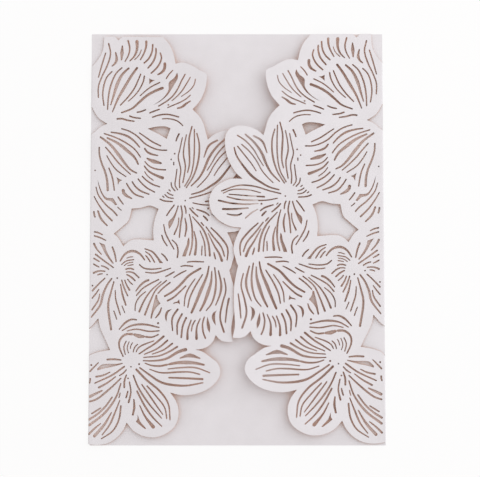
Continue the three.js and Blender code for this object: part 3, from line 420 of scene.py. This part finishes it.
    (0.4, 0.5, 0.4, 16.8, 81.7, 18.4, 82.3, 19.9, 82.4),
    (0.6, 1.2, 0.6, 13.9, 80.3, 15.8, 83.2, 18.1, 84.7, 20.8, 84.7, 23.2, 83.3, 25.1, 80.9),
    (0.5, 0.8, 0.9, 24.7, 86, 28.3, 84.7, 30.1, 82.9, 31.7, 80.8),
    (0.5, 0.7, 0.6, 25.1, 84.8, 27.3, 83.3, 29.6, 79.9),
    (0.5, 0.7, 0.6, 25.2, 83.2, 26.4, 81.9, 27.6, 80.1),
    (0.6, 0.7, 0.7, 32.3, 84, 33.9, 82.7, 35.3, 80.7),
    (1, 0.9, 0.5, 27.3, 72.5, 25.6, 71.9, 23.4, 70.2, 21.2, 67.4),
    (0.6, 0.7, 0.6, 31.7, 72.8, 27.5, 70.7, 24.2, 68.6, 21.5, 65.5),
    (0.5, 0.6, 0.5, 25.9, 67.5, 22.9, 64.9, 21.3, 61.8, 21.2, 58.9),
    (0.5, 0.7, 0.9, 32.7, 71.9, 28, 67.7, 25, 63.2, 22.9, 58.3),
    (0.6, 0.7, 0.9, 35.2, 72.5, 30.3, 68.2, 28, 63.5, 25.5, 57),
    (0.7, 0.7, 0.6, 36.8, 71.6, 33.5, 69, 31.1, 66.5),
    (0.5, 0.9, 0.5, 33, 60.7, 32.2, 58.3, 30.3, 55.9),
    (0.9, 1.1, 0.8, 50.4, 77.9, 45, 74.6, 41.5, 70.8, 38.2, 67.8, 34, 65.3),
    (0.6, 0.8, 0.8, 43.8, 70.2, 41, 67.4, 38, 64.8, 35.3, 63.4),
    (0.5, 0.7, 0.5, 47.8, 73.3, 45, 69.2, 43.5, 65.5, 43.1, 61.1),
    (0.6, 0.8, 0.6, 51.1, 75.2, 47.8, 69.8, 45.6, 65, 44.7, 60.5),
    (0.6, 1.5, 1.0, 53.8, 78.9, 53, 74.6, 50.5, 68.4, 48.4, 63, 46.3, 58.1),
    (0.5, 1.6, 0.8, 55.1, 76.7, 54.9, 72, 53.3, 66.2, 51.8, 62.2, 50.1, 59),
    (0.6, 1, 0.5, 56.3, 78.3, 57.1, 72, 56.7, 66.9, 55.3, 62.4, 52.9, 59.3),
    (0.6, 1.1, 0.5, 58, 77, 59.5, 70.3, 59, 66.5, 57.1, 61.6),
    (0.6, 0.8, 0.9, 60.6, 73.8, 61.6, 68.5, 60.1, 62.3, 59.3, 56.5, 61.3, 49.9),
    (0.5, 0.8, 0.6, 62.9, 65.1, 62.2, 60, 61.7, 54.2),
    (0.6, 0.8, 0.7, 52.3, 56.9, 51.5, 53.5, 52, 49.8, 53.1, 47.2),
    (0.5, 0.8, 1.3, 50.5, 56.1, 49, 52.3, 49, 46.7),
    (0.6, 0.7, 0.5, 48.3, 55.4, 47, 53, 46.6, 50.3),
    (0.6, 0.8, 1.2, 46.5, 55.5, 45, 51, 44.9, 46.6),
    (0.9, 0.8, 0.8, 44.3, 56.6, 42.7, 52.8, 42.1, 47.4),
    (0.8, 0.9, 0.6, 42.4, 58.2, 40.3, 53.8, 40.3, 48.7),
    (0.9, 0.8, 0.6, 40.5, 60.2, 37.9, 56, 38.2, 50.4),
    (0.5, 1, 0.6, 14.1, 50.8, 17.1, 54, 19.7, 55.3, 22.2, 55.1),
    (0.5, 1, 0.6, 15.4, 50.3, 19.7, 52.6, 25.3, 53.2, 32.3, 51.9),
    (0.5, 0.7, 0.6, 17.6, 50.2, 21.8, 51.1, 27.7, 50.2, 32.4, 50.5),
    (0.6, 0.9, 1.1, 16.4, 39, 14.4, 43.6, 14.7, 46.5, 17.2, 48.8, 20.6, 48.9),
    (1, 1.8, 0.9, 20.6, 48.9, 23.3, 48.1, 25.9, 47.9),
    (0.9, 0.7, 0.6, 25.9, 47.9, 29, 47.7, 32.1, 49),
    (0.5, 0.6, 0.5, 17.6, 46.1, 16.5, 43.3, 17.3, 39.9),
    (0.4, 0.5, 0.4, 18.9, 45.8, 18, 43, 18.7, 40.6),
    (0.4, 0.5, 0.4, 20.5, 45.4, 19.7, 44.1, 19.4, 42.5),
    (0.5, 0.6, 0.5, 22.8, 44.7, 21.4, 43.3, 20.7, 41),
    (0.5, 0.7, 0.5, 30.1, 46.2, 24.8, 44.2, 22.9, 42.9, 22, 41.1),
    (1, 0.8, 0.6, 34.6, 48.4, 30.1, 44.7, 26.7, 42.6, 23.2, 40.3),
    (0.9, 0.7, 0.5, 36.3, 46.6, 31.7, 42.9, 25.6, 40.2),
    (0.8, 0.7, 0.5, 38.5, 45.3, 34.4, 42.3, 29.1, 40.3),
    (0.9, 0.7, 0.5, 40.8, 43.9, 37, 41.6, 32.5, 39.7, 25.3, 38.9),
    (1.5, 1, 0.5, 44.9, 42.7, 41, 41.5, 35.5, 38.4, 30, 37.5, 25.1, 37.5),
    (0.5, 1.8, 0.5, 41.6, 38.7, 46, 40, 51, 38.7),
    (0.5, 0.8, 0.9, 26, 36.5, 29, 35.5, 33, 35.3, 36.5, 36),
    (0.9, 1.7, 0.8, 36.5, 36, 41, 36.8, 48, 36.8, 53, 35.9),
    (0.5, 0.8, 0.5, 36.3, 34, 42.8, 34.7, 49, 34.7, 55.5, 32.5),
    (0.5, 0.8, 0.6, 28.1, 33.9, 33.2, 32.4, 42, 32.8, 46.5, 32.8, 51.1, 31.8),
    (0.7, 0.9, 1, 36.7, 30.3, 44.9, 30.1, 52.6, 29.8),
    (0.7, 1.1, 0.6, 23.6, 34.6, 28.5, 31.3, 34, 28.1, 44, 26.9, 52.6, 28.3),
    (1, 0.9, 0.6, 22, 34, 27, 29.2, 33.1, 24.4, 37, 19, 38, 11.9),
    (0.7, 0.7, 0.6, 27.1, 26.8, 31.7, 22, 35.5, 17.2, 36.5, 12.4),
    (0.6, 0.8, 0.5, 24.8, 27.4, 28.5, 22.5, 31.7, 18.2, 34.8, 14.2),
    (0.7, 0.9, 0.5, 20.9, 31.4, 23.5, 25.7, 28.5, 18.7, 34.3, 12.6),
    (0.8, 0.9, 0.5, 22.7, 24.6, 26.4, 18.1, 30.1, 13.2, 34.5, 9.1),
    (0.5, 0.9, 1.7, 24.1, 18.4, 26.7, 13.5, 31, 8.4),
    (0.8, 0.9, 0.6, 8.8, 37.8, 12, 38, 15.6, 37.7),
    (0.5, 0.7, 0.8, 5.4, 36.6, 3.7, 34.9, 1.3, 32.4),
    (0.5, 0.8, 0.8, 10.7, 32.5, 7.5, 31, 4, 30.3),
    (0.8, 0.8, 0.6, 17.2, 35.1, 11.8, 31.3, 7, 29, 3.6, 27.5),
    (0.6, 0.7, 0.5, 18, 33.7, 16.6, 32.1, 14.6, 30.8),
    (0.5, 0.8, 0.9, 13.3, 30.6, 9.8, 28, 5.3, 25.5),
    (0.6, 0.9, 0.8, 15.7, 30, 10.7, 25.3, 4.8, 20.7, 1.3, 19.5),
    (0.6, 1.1, 1.3, 7.4, 24.5, 4.2, 23, 1.3, 21.5),
    (0.8, 0.8, 0.6, 1.7, 29.8, 1.7, 28.5, 1.3, 27.3),
    (0.7, 0.9, 1, 11.9, 21.8, 8.8, 17.5, 5.1, 14.1, 1.2, 11.6),
    (0.6, 0.8, 0.6, 6.9, 17, 4.7, 15.6, 2.5, 14.3),
    (0.6, 1, 1.1, 15.6, 27.8, 13.4, 21.4, 8.5, 14.7, 1.3, 9.1),
    (0.5, 0.6, 0.5, 15.3, 23.7, 15.1, 22.4, 14.7, 21.2),
    (0.5, 0.9, 0.5, 15.3, 20.5, 13.3, 15.3, 10.9, 9.7, 7.5, 5.1),
    (0.5, 1.2, 1.4, 11.7, 15.2, 8.5, 9.7, 3.7, 4.3),
    (0.5, 0.8, 1, 7, 10.3, 4, 7.9, 1.3, 5.2),
    (0.8, 0.8, 0.5, 15.8, 18.2, 15, 12, 12.4, 7.1, 7.1, 3.5),
    (0.6, 0.9, 0.8, 18, 31.5, 17.1, 28.6, 17.1, 25.5),
    (0.6, 0.7, 0.9, 19.3, 28.5, 20.1, 23.9, 19.1, 19.1),
    (0.6, 0.8, 0.7, 18.8, 24.5, 18.4, 22.8, 17.9, 21.2),
    (0.6, 1.1, 0.8, 21.5, 21, 21.8, 17.3, 21.1, 13.7),
]


def smooth_line(points, step):
    """Points about one step apart on a smooth curve through the given ones, with both ends kept."""
    given = np.array(points, float)
    ends = np.vstack([2 * given[0] - given[1], given, 2 * given[-1] - given[-2]])
    fine = [given[0]]
    for a, b, c, d in zip(ends, ends[1:], ends[2:], ends[3:]):
        t_b = math.sqrt(math.dist(a, b))
        t_c = t_b + math.sqrt(math.dist(b, c))
        t_d = t_c + math.sqrt(math.dist(c, d))
        for t in np.linspace(t_b, t_c, CURVE_SAMPLES + 1)[1:]:
            ab = (a * (t_b - t) + b * t) / t_b
            bc = (b * (t_c - t) + c * (t - t_b)) / (t_c - t_b)
            cd = (c * (t_d - t) + d * (t - t_c)) / (t_d - t_c)
            abc = (ab * (t_c - t) + bc * t) / t_c
            bcd = (bc * (t_d - t) + cd * (t - t_b)) / (t_d - t_b)
            fine.append((abc * (t_c - t) + bcd * (t - t_b)) / (t_c - t_b))
    fine = np.array(fine)
    along = lengths_along(fine)
    count = max(1, round(along[-1] / step))
    return at_lengths(fine, along, np.linspace(0, along[-1], count + 1))


def lengths_along(line):
    return np.concatenate([[0], np.cumsum(np.hypot(*np.diff(line, axis=0).T))])


def at_lengths(line, along, wanted):
    return np.column_stack([np.interp(wanted, along, line[:, k]) for k in (0, 1)])


def smooth_rows(rows, step):
    """One line through rows that each run on smoothly from the row before and end in a corner."""
    line = [np.array(rows[0][0], float)]
    for row in rows[1:]:
        run = [line[-1], *row]
        spaced = smooth_line(run, step) if len(run) > 2 else np.array(run, float)
        line.extend(spaced[1:])
    return np.array(line)


def smooth_hole(points, step):
    """A closed outline, smooth wherever it doesn't turn sharply."""
    given = np.array(points, float)
    before = given - np.roll(given, 1, axis=0)
    after = np.roll(before, -1, axis=0)
    turn = np.abs(np.arctan2(
        before[:, 0] * after[:, 1] - before[:, 1] * after[:, 0], (before * after).sum(axis=1)
    ))
    sharp = [i for i in range(len(given)) if turn[i] > SHARP_TURN]
    outline = []
    for first, last in zip(sharp, sharp[1:] + [sharp[0] + len(given)]):
        run = [given[i % len(given)] for i in range(first, last + 1)]
        outline.extend(smooth_line(run, step)[:-1])
    return np.array(outline)


def slit_outline(row):
    """A slit round a smooth middle line, with rounded ends and a width that changes along it."""
    widths = row[:3]
    fine = smooth_line(np.reshape(row[3:], (-1, 2)), SLIT_STEP / CURVE_SAMPLES)
    along = lengths_along(fine)
    length = along[-1]
    start_caps = [share * widths[0] / 2 for share in CAP_SHARES]
    end_caps = [length - share * widths[2] / 2 for share in reversed(CAP_SHARES)]
    spans = max(1, round((end_caps[0] - start_caps[-1]) / SLIT_STEP))
    between = np.linspace(start_caps[-1], end_caps[0], spans + 1)[1:-1]
    places = np.array([*start_caps, *between, *end_caps])
    middle = at_lengths(fine, along, places)
    reach = SLIT_STEP / 2
    ahead = at_lengths(fine, along, np.minimum(places + reach, length))
    behind = at_lengths(fine, along, np.maximum(places - reach, 0))
    way = (ahead - behind) / np.hypot(*(ahead - behind).T)[:, None]
    half = np.interp(places, [0, length / 2, length], widths) / 2
    to_end = np.minimum(places, length - places)
    rounding = np.sqrt(1 - (1 - np.clip(to_end / half, 0, 1)) ** 2)
    aside = np.column_stack([-way[:, 1], way[:, 0]]) * (half * rounding)[:, None]
    return np.vstack([middle + aside, (middle - aside)[-2:0:-1]])


def round_hole(u, v, diameter):
    turns = np.linspace(0, 2 * math.pi, PIN_HOLE_CORNERS, endpoint=False)
    return np.column_stack([u + diameter / 2 * np.cos(turns), v + diameter / 2 * np.sin(turns)])


def as_folded(side, across, up):
    """A lace point in the card's own plan: distance in from the fold, height above the foot."""
    if side > 0:
        return across + RIGHT_SHIFT * (across > 0), up - SAG[1] * across
    down = 2 * HALF_HEIGHT - up
    from_lowest = (up - LEFT_DROP_MIDDLE) / LEFT_DROP_REACH
    height = up - LEFT_DROP + LEFT_DROP_EASED * from_lowest**2 - SAG[-1] * across
    inward = across * (1 - LEFT_NARROWING - LEFT_TWIST * down) + LEFT_SHIFT - LEFT_LEAN * down
    beside_seam = min(max((across - SEAM_EDGE) / SEAM_MARGIN, 0), 1)
    inward += SEAM_OVERLAP * beside_seam * math.exp(-(((up - SEAM_MIDDLE) / SEAM_REACH) ** 2))
    return (max(inward, 0) if across else 0), height


def on_sheet(side, point):
    """Where a lace point lies on the sheet laid flat."""
    inward, height = as_folded(side, *point)
    if inward >= LIP:
        out = ARC + inward - LIP
    else:
        out = FOLD_RADIUS * (math.pi - math.asin(1 - inward / LIP))
    return side * (PANEL_EDGE + out), height - HALF_HEIGHT


def flat_line(side, line):
    return [on_sheet(side, point) for point in line]


def fold_height(side, up):
    return as_folded(side, 0, up)[1] - HALF_HEIGHT


def tab_spans(side):
    """Stretches beside a fold's cut-away parts, where the panel keeps a straight edge of its own."""
    ends = [fold_height(side, up) for span in FOLD_SPANS for up in span]
    marks = [-HALF_HEIGHT - TAB_RELIEF, *ends, HALF_HEIGHT + TAB_RELIEF]
    tabs = [(low + TAB_RELIEF, high - TAB_RELIEF) for low, high in zip(marks[::2], marks[1::2])]
    return [(low, high) for low, high in tabs if high - low > SHORTEST_TAB]


TABS = {side: tab_spans(side) for side in (1, -1)}


def rise(side, inward, height):
    """How far a flap stands off the panel, beyond the turn of its fold."""
    clear = max(inward - LIP, 0)
    from_middle = (height - LIFT_MIDDLE) / LIFT_REACH
    to_end = math.hypot(from_middle, LIFT_EASING) - LIFT_EASING
    return SLOPE[side] * clear + LIFT[side] * to_end * (clear / FLAP_SPAN) ** 2


def folded(x, y):
    """Where a point of the flat sheet lies once folded."""
    side = 1 if x > 0 else -1
    out = abs(x) - PANEL_EDGE
    beside_tab = any(low - TAB_SLACK <= y <= high + TAB_SLACK for low, high in TABS[side])
    if out <= 0 or (out < TAB_REACH and beside_tab):
        return np.array([x, y, THICKNESS / 2])
    if out < ARC:
        turn = out / FOLD_RADIUS
        return np.array([
            side * (PANEL_EDGE + FOLD_RADIUS * math.sin(turn)),
            y,
            THICKNESS / 2 + FOLD_RADIUS * (1 - math.cos(turn)),
        ])
    inward = out - ARC + LIP
    raised = rise(side, inward, y + HALF_HEIGHT)
    # The lace was drawn as the camera shows it, so what is raised lies nearer to the point below it.
    flat = np.array([side * (HALF_WIDTH - inward), y])
    flat -= (flat - CAMERA_FOOT) * raised / CAMERA_HEIGHT
    return np.array([*flat, THICKNESS / 2 + 2 * FOLD_RADIUS + raised])


def sheet_outline():
    """The outer edge of the whole flat sheet, with a tab at the foot only where it is long enough."""
    outline = []
    for side in (1, -1):
        fold_x, tab_x = side * PANEL_EDGE, side * HALF_WIDTH
        low_fold = fold_height(side, FOLD_SPANS[0][0])
        high_fold = fold_height(side, FOLD_SPANS[-1][1])
        top_tab_end = TABS[side][-1][0]
        edge = [(tab_x, HALF_HEIGHT), (tab_x, top_tab_end), (fold_x, top_tab_end), (fold_x, high_fold)]
        edge += flat_line(side, smooth_rows(PETAL_EDGE, EDGE_STEP))
        edge += [(fold_x, low_fold)]
        foot_tab_end = TABS[side][0][1]
        if foot_tab_end < low_fold:
            edge += [(fold_x, foot_tab_end), (tab_x, foot_tab_end), (tab_x, -HALF_HEIGHT)]
        else:
            edge += [(fold_x, -HALF_HEIGHT)]
        outline += edge[::-1] if side > 0 else edge
    return outline


def notch_holes(side):
    """The two openings between the panel's straight edge and the lace beside the fold."""
    fold_x, tab_x = side * PANEL_EDGE, side * HALF_WIDTH
    holes = []
    for rows in (LOWER_NOTCH, UPPER_NOTCH):
        line = flat_line(side, smooth_rows(rows, EDGE_STEP))
        low, high = line[0][1], line[-1][1]
        edge = [(fold_x, high)]
        for tab_low, tab_high in TABS[side]:
            if low < tab_low and tab_high < high:
                edge += [(fold_x, tab_high), (tab_x, tab_high), (tab_x, tab_low), (fold_x, tab_low)]
        holes.append(line + edge + [(fold_x, low)])
    return holes


def lace_cuts(side):
    cuts = [smooth_hole(outline, EDGE_STEP) for outline in WINDOWS]
    cuts += [slit_outline(row) for row in SLITS]
    cuts += [round_hole(*hole) for hole in PIN_HOLES]
    return [flat_line(side, cut) for cut in cuts]


def anticlockwise(outline):
    """The outline turned to run anticlockwise, so that the triangulation sees what lies inside it."""
    points = np.array(outline, float)
    after = np.roll(points, -1, axis=0)
    area = (points[:, 0] * after[:, 1] - after[:, 0] * points[:, 1]).sum()
    return points if area > 0 else points[::-1]


def fold_columns(side):
    """Straight lines along the turn of each fold, so that it is faceted evenly."""
    lines = []
    for span in FOLD_SPANS:
        low, high = (fold_height(side, up) for up in span)
        for k in range(FOLD_COLUMNS + 1):
            x = side * (PANEL_EDGE + ARC * k / FOLD_COLUMNS)
            lines.append([(x, low), (x, high)])
    return lines


def inner_points():
    """Spare corners, so that the flaps can curl and the panel has no long thin facets."""
    flap_end = PANEL_EDGE + ARC + FLAP_SPAN
    for side in (1, -1):
        for x in np.arange(PANEL_EDGE + ARC + FLAP_GRID, flap_end, FLAP_GRID):
            for y in np.arange(-HALF_HEIGHT + FLAP_GRID / 2, HALF_HEIGHT, FLAP_GRID):
                yield side * x, y
    for x in np.arange(-PANEL_EDGE + PANEL_GRID / 2, PANEL_EDGE, PANEL_GRID):
        for y in np.arange(-HALF_HEIGHT + PANEL_GRID / 2, HALF_HEIGHT, PANEL_GRID):
            yield x, y


def cut_sheet():
    """The flat sheet's corners, its triangles, and which corners lie on its outer edge."""
    outline = anticlockwise(sheet_outline())
    cuts = [anticlockwise(cut) for side in (1, -1) for cut in notch_holes(side) + lace_cuts(side)]
    corners, loops = [], []
    for loop in [outline, *cuts]:
        loops.append(list(range(len(corners), len(corners) + len(loop))))
        corners.extend(loop)
    lines = []
    for side in (1, -1):
        for line in fold_columns(side):
            lines.append((len(corners), len(corners) + 1))
            corners.extend(line)
    corners.extend(inner_points())
    places, _, triangles, given, _, inside = delaunay_2d_cdt(
        [Vector(corner) for corner in corners], lines, loops, INSIDE_ONLY, MERGE_DISTANCE
    )
    outer = {k for k, sources in enumerate(given) if any(corner < len(outline) for corner in sources)}
    kept = [triangle for triangle, loops_round in zip(triangles, inside) if list(loops_round) == [0]]
    return np.array(places), kept, outer


def wrap_mesh():
    """The folded sheet with its thickness: both faces, and a wall along every edge."""
    places, triangles, outer_edge = cut_sheet()
    used = sorted({corner for triangle in triangles for corner in triangle})
    number = {corner: i for i, corner in enumerate(used)}
    triangles = [[number[corner] for corner in triangle] for triangle in triangles]
    edges = {(t[i], t[(i + 1) % 3]) for t in triangles for i in range(3)}
    border = sorted(edge for edge in edges if edge[::-1] not in edges)
    worn = np.zeros(len(used))
    worn[[corner for edge in border for corner in edge]] = EDGE_WEAR
    inner, outer = [], []
    for corner, wear in zip(used, worn):
        x, y = places[corner]
        here = folded(x, y)
        along_x = folded(x + NORMAL_NUDGE, y) - folded(x - NORMAL_NUDGE, y)
        along_y = folded(x, y + NORMAL_NUDGE) - folded(x, y - NORMAL_NUDGE)
        normal = np.cross(along_x, along_y)
        normal *= (THICKNESS / 2 - wear) / np.linalg.norm(normal)
        inner.append((here + normal) * MM)
        outer.append((here - normal) * MM)
    count = len(used)
    faces = triangles + [[c + count, b + count, a + count] for a, b, c in triangles]
    faces += [[a + count, b + count, b, a] for a, b in border]
    mesh = bpy.data.meshes.new("pearl_wrap")
    mesh.from_pydata(inner + outer, [], faces)
    # The walls of the cuts take the second material, partly real laser burn and partly painted shade
    # inside the cuts. The walls of the outer edge stay plain card.
    burnt_and_shaded_walls = [int(any(used[corner] not in outer_edge for corner in edge)) for edge in border]
    mesh.polygons.foreach_set("material_index", [0] * 2 * len(triangles) + burnt_and_shaded_walls)
    mesh.polygons.foreach_set("use_smooth", [True] * len(faces))
    mesh.set_sharp_from_angle(angle=SHARP_EDGE)
    mesh.validate()
    return mesh


def placed(name, data):
    piece = bpy.data.objects.new(name, data)
    bpy.context.scene.collection.objects.link(piece)
    return piece


def new_material(name):
    """A material that so far has only its principled shader."""
    material = bpy.data.materials.new(name)
    material.use_nodes = True
    tree = material.node_tree
    tree.nodes.clear()
    output = tree.nodes.new("ShaderNodeOutputMaterial")
    shader = tree.nodes.new("ShaderNodeBsdfPrincipled")
    tree.links.new(shader.outputs["BSDF"], output.inputs["Surface"])
    return material, tree, shader


def noise(tree, coordinates, size_mm, detail):
    node = tree.nodes.new("ShaderNodeTexNoise")
    node.inputs["Scale"].default_value = 1 / (size_mm * MM)
    node.inputs["Detail"].default_value = detail
    tree.links.new(coordinates, node.inputs["Vector"])
    return node.outputs["Fac"]


def ramp(tree, factor, places, colours):
    node = tree.nodes.new("ShaderNodeValToRGB")
    for element, place, colour in zip(node.color_ramp.elements, places, colours):
        element.position = place
        element.color = (*colour, 1)
    tree.links.new(factor, node.inputs["Fac"])
    return node.outputs["Color"]


def mixed(tree, blend, factor, first, second):
    node = tree.nodes.new("ShaderNodeMix")
    node.data_type = "RGBA"
    node.blend_type = blend
    node.inputs[0].default_value = factor
    tree.links.new(first, node.inputs[6])
    tree.links.new(second, node.inputs[7])
    return node.outputs[2]


def spread(tree, factor, low, high):
    node = tree.nodes.new("ShaderNodeMapRange")
    node.inputs["To Min"].default_value = low
    node.inputs["To Max"].default_value = high
    tree.links.new(factor, node.inputs["Value"])
    return node.outputs["Result"]


def bumped(tree, shader, height, depth_mm, strength):
    node = tree.nodes.new("ShaderNodeBump")
    node.inputs["Distance"].default_value = depth_mm * MM
    node.inputs["Strength"].default_value = strength
    tree.links.new(height, node.inputs["Height"])
    tree.links.new(node.outputs["Normal"], shader.inputs["Normal"])


def painted_hidden_shade(tree):
    """Painted shade: a tan tint that grows from none on open card to its darkest where the card lies
    hidden between the two layers, as the occlusion finds it.
    """
    node = tree.nodes.new("ShaderNodeAmbientOcclusion")
    node.only_local = True
    node.inputs["Distance"].default_value = PAINTED_SHADE_REACH_MM * MM
    return ramp(tree, node.outputs["AO"], PAINTED_SHADE_RAMP, (PAINTED_SHADE_TAN, WHITE))


def pearl_card():
    """Pale lilac-white card: faint mottling, fine mica grain, a soft pearl gloss, and painted tan shade
    where it lies hidden.
    """
    material, tree, shader = new_material("pearl_card")
    place = tree.nodes.new("ShaderNodeTexCoord").outputs["Object"]
    shades = (PEARL_SHADE, PEARL_LIGHT)
    mottling = ramp(tree, noise(tree, place, *MOTTLING_NOISE), MOTTLING_RAMP, shades)
    grain = ramp(tree, noise(tree, place, *GRAIN_NOISE), GRAIN_RAMP, shades)
    bare_tone = mixed(tree, "MIX", GRAIN_SHARE, mottling, grain)
    # Painted shade: the card is darkened to tan wherever it lies hidden between the layers.
    with_painted_shade = mixed(tree, "MULTIPLY", 1, bare_tone, painted_hidden_shade(tree))
    roughness = spread(tree, noise(tree, place, *ROUGHNESS_NOISE), *ROUGHNESS_RANGE)
    tree.links.new(with_painted_shade, shader.inputs["Base Color"])
    tree.links.new(roughness, shader.inputs["Roughness"])
    for socket, value in PEARL_GLOSS.items():
        shader.inputs[socket].default_value = value
    bumped(tree, shader, noise(tree, place, *PEARL_BUMP_NOISE), *PEARL_BUMP)
    return material


def burnt_and_shaded_wall():
    """The wall of a laser cut: a greyish brown, darker in streaks, that is partly real burn and partly
    painted shade inside the cuts.
    """
    material, tree, shader = new_material("burnt_and_shaded_wall")
    place = tree.nodes.new("ShaderNodeTexCoord").outputs["Object"]
    burn = ramp(tree, noise(tree, place, *SCORCH_NOISE), SCORCH_RAMP, (WALL_BURN_AND_SHADE_DARK, WALL_BURN_AND_SHADE_LIGHT))
    tree.links.new(burn, shader.inputs["Base Color"])
    shader.inputs["Roughness"].default_value = SCORCH_ROUGHNESS
    bumped(tree, shader, noise(tree, place, *SCORCH_BUMP_NOISE), *SCORCH_BUMP)
    return material


def shown_to_camera(tree):
    """1 on rays that show the floor itself: from the camera, in a reflection or through glass."""
    rays = tree.nodes.new("ShaderNodeLightPath").outputs
    total = rays["Is Camera Ray"]
    for name in ("Is Glossy Ray", "Is Transmission Ray"):
        node = tree.nodes.new("ShaderNodeMath")
        node.operation = "MAXIMUM"
        tree.links.new(total, node.inputs[0])
        tree.links.new(rays[name], node.inputs[1])
        total = node.outputs[0]
    return total


def floor():
    """A plain white floor that keeps a light shadow under the card."""
    mesh = bpy.data.meshes.new("floor")
    ends = [(-1, -1), (1, -1), (1, 1), (-1, 1)]
    corners = [(x * FLOOR_REACH, y * FLOOR_REACH, -FLOOR_GAP_MM * MM) for x, y in ends]
    mesh.from_pydata(corners, [], [(0, 1, 2, 3)])
    piece = placed("floor", mesh)
    material, tree, shader = new_material("floor_white")
    shader.inputs["Base Color"].default_value = (*FLOOR_COLOUR, 1)
    shader.inputs["Roughness"].default_value = FLOOR_ROUGHNESS
    glow = tree.nodes.new("ShaderNodeEmission")
    glow.inputs["Color"].default_value = (*WHITE, 1)
    share = tree.nodes.new("ShaderNodeMath")
    share.operation = "MULTIPLY"
    share.inputs[1].default_value = FLOOR_GLOW_SHARE
    tree.links.new(shown_to_camera(tree), share.inputs[0])
    blend = tree.nodes.new("ShaderNodeMixShader")
    tree.links.new(share.outputs[0], blend.inputs["Fac"])
    tree.links.new(shader.outputs["BSDF"], blend.inputs[1])
    tree.links.new(glow.outputs["Emission"], blend.inputs[2])
    output = next(node for node in tree.nodes if node.type == "OUTPUT_MATERIAL")
    tree.links.new(blend.outputs["Shader"], output.inputs["Surface"])
    mesh.materials.append(material)


def lights():
    """A square soft light from the upper right, and an even fill from all around."""
    key = bpy.data.lights.new("key_light", "AREA")
    key.shape = "SQUARE"
    key.size = KEY_SIZE
    key.energy = KEY_STRENGTH * math.pi**2 * KEY_DISTANCE**2
    key.color = KEY_COLOUR
    piece = placed("key_light", key)
    away = Vector(KEY_DIRECTION).normalized()
    piece.location = away * KEY_DISTANCE
    piece.rotation_euler = away.to_track_quat("Z", "Y").to_euler()
    world = bpy.data.worlds.new("studio")
    world.use_nodes = True
    background = world.node_tree.nodes["Background"]
    background.inputs["Color"].default_value = (*FILL_COLOUR, 1)
    background.inputs["Strength"].default_value = FILL_STRENGTH
    bpy.context.scene.world = world


def camera():
    """Looks down on the card from just below straight above, as the photograph does."""
    data = bpy.data.cameras.new("camera")
    data.sensor_width = SENSOR
    data.lens = SENSOR * CAMERA_DISTANCE / (IMAGE_WIDTH / PIXELS_PER_MM)
    data.clip_start = CLIP_START
    piece = placed("camera", data)
    target = Vector((
        (IMAGE_WIDTH / 2 - CARD_MIDDLE[0]) / PIXELS_PER_MM,
        (CARD_MIDDLE[1] - IMAGE_HEIGHT / 2) / PIXELS_PER_MM,
        0,
    ))
    away = Vector((0, -math.cos(CAMERA_ELEVATION), math.sin(CAMERA_ELEVATION)))
    piece.location = (target + away * CAMERA_DISTANCE) * MM
    piece.rotation_euler = (math.pi / 2 - CAMERA_ELEVATION, 0, 0)
    bpy.context.scene.camera = piece


camera()
lights()
floor()

wrap = placed("pearl_wrap", wrap_mesh())
wrap.data.materials.append(pearl_card())
wrap.data.materials.append(burnt_and_shaded_wall())
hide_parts("folded_wrap")
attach(wrap, "root")

bpy.context.scene.view_settings.view_transform = "Standard"
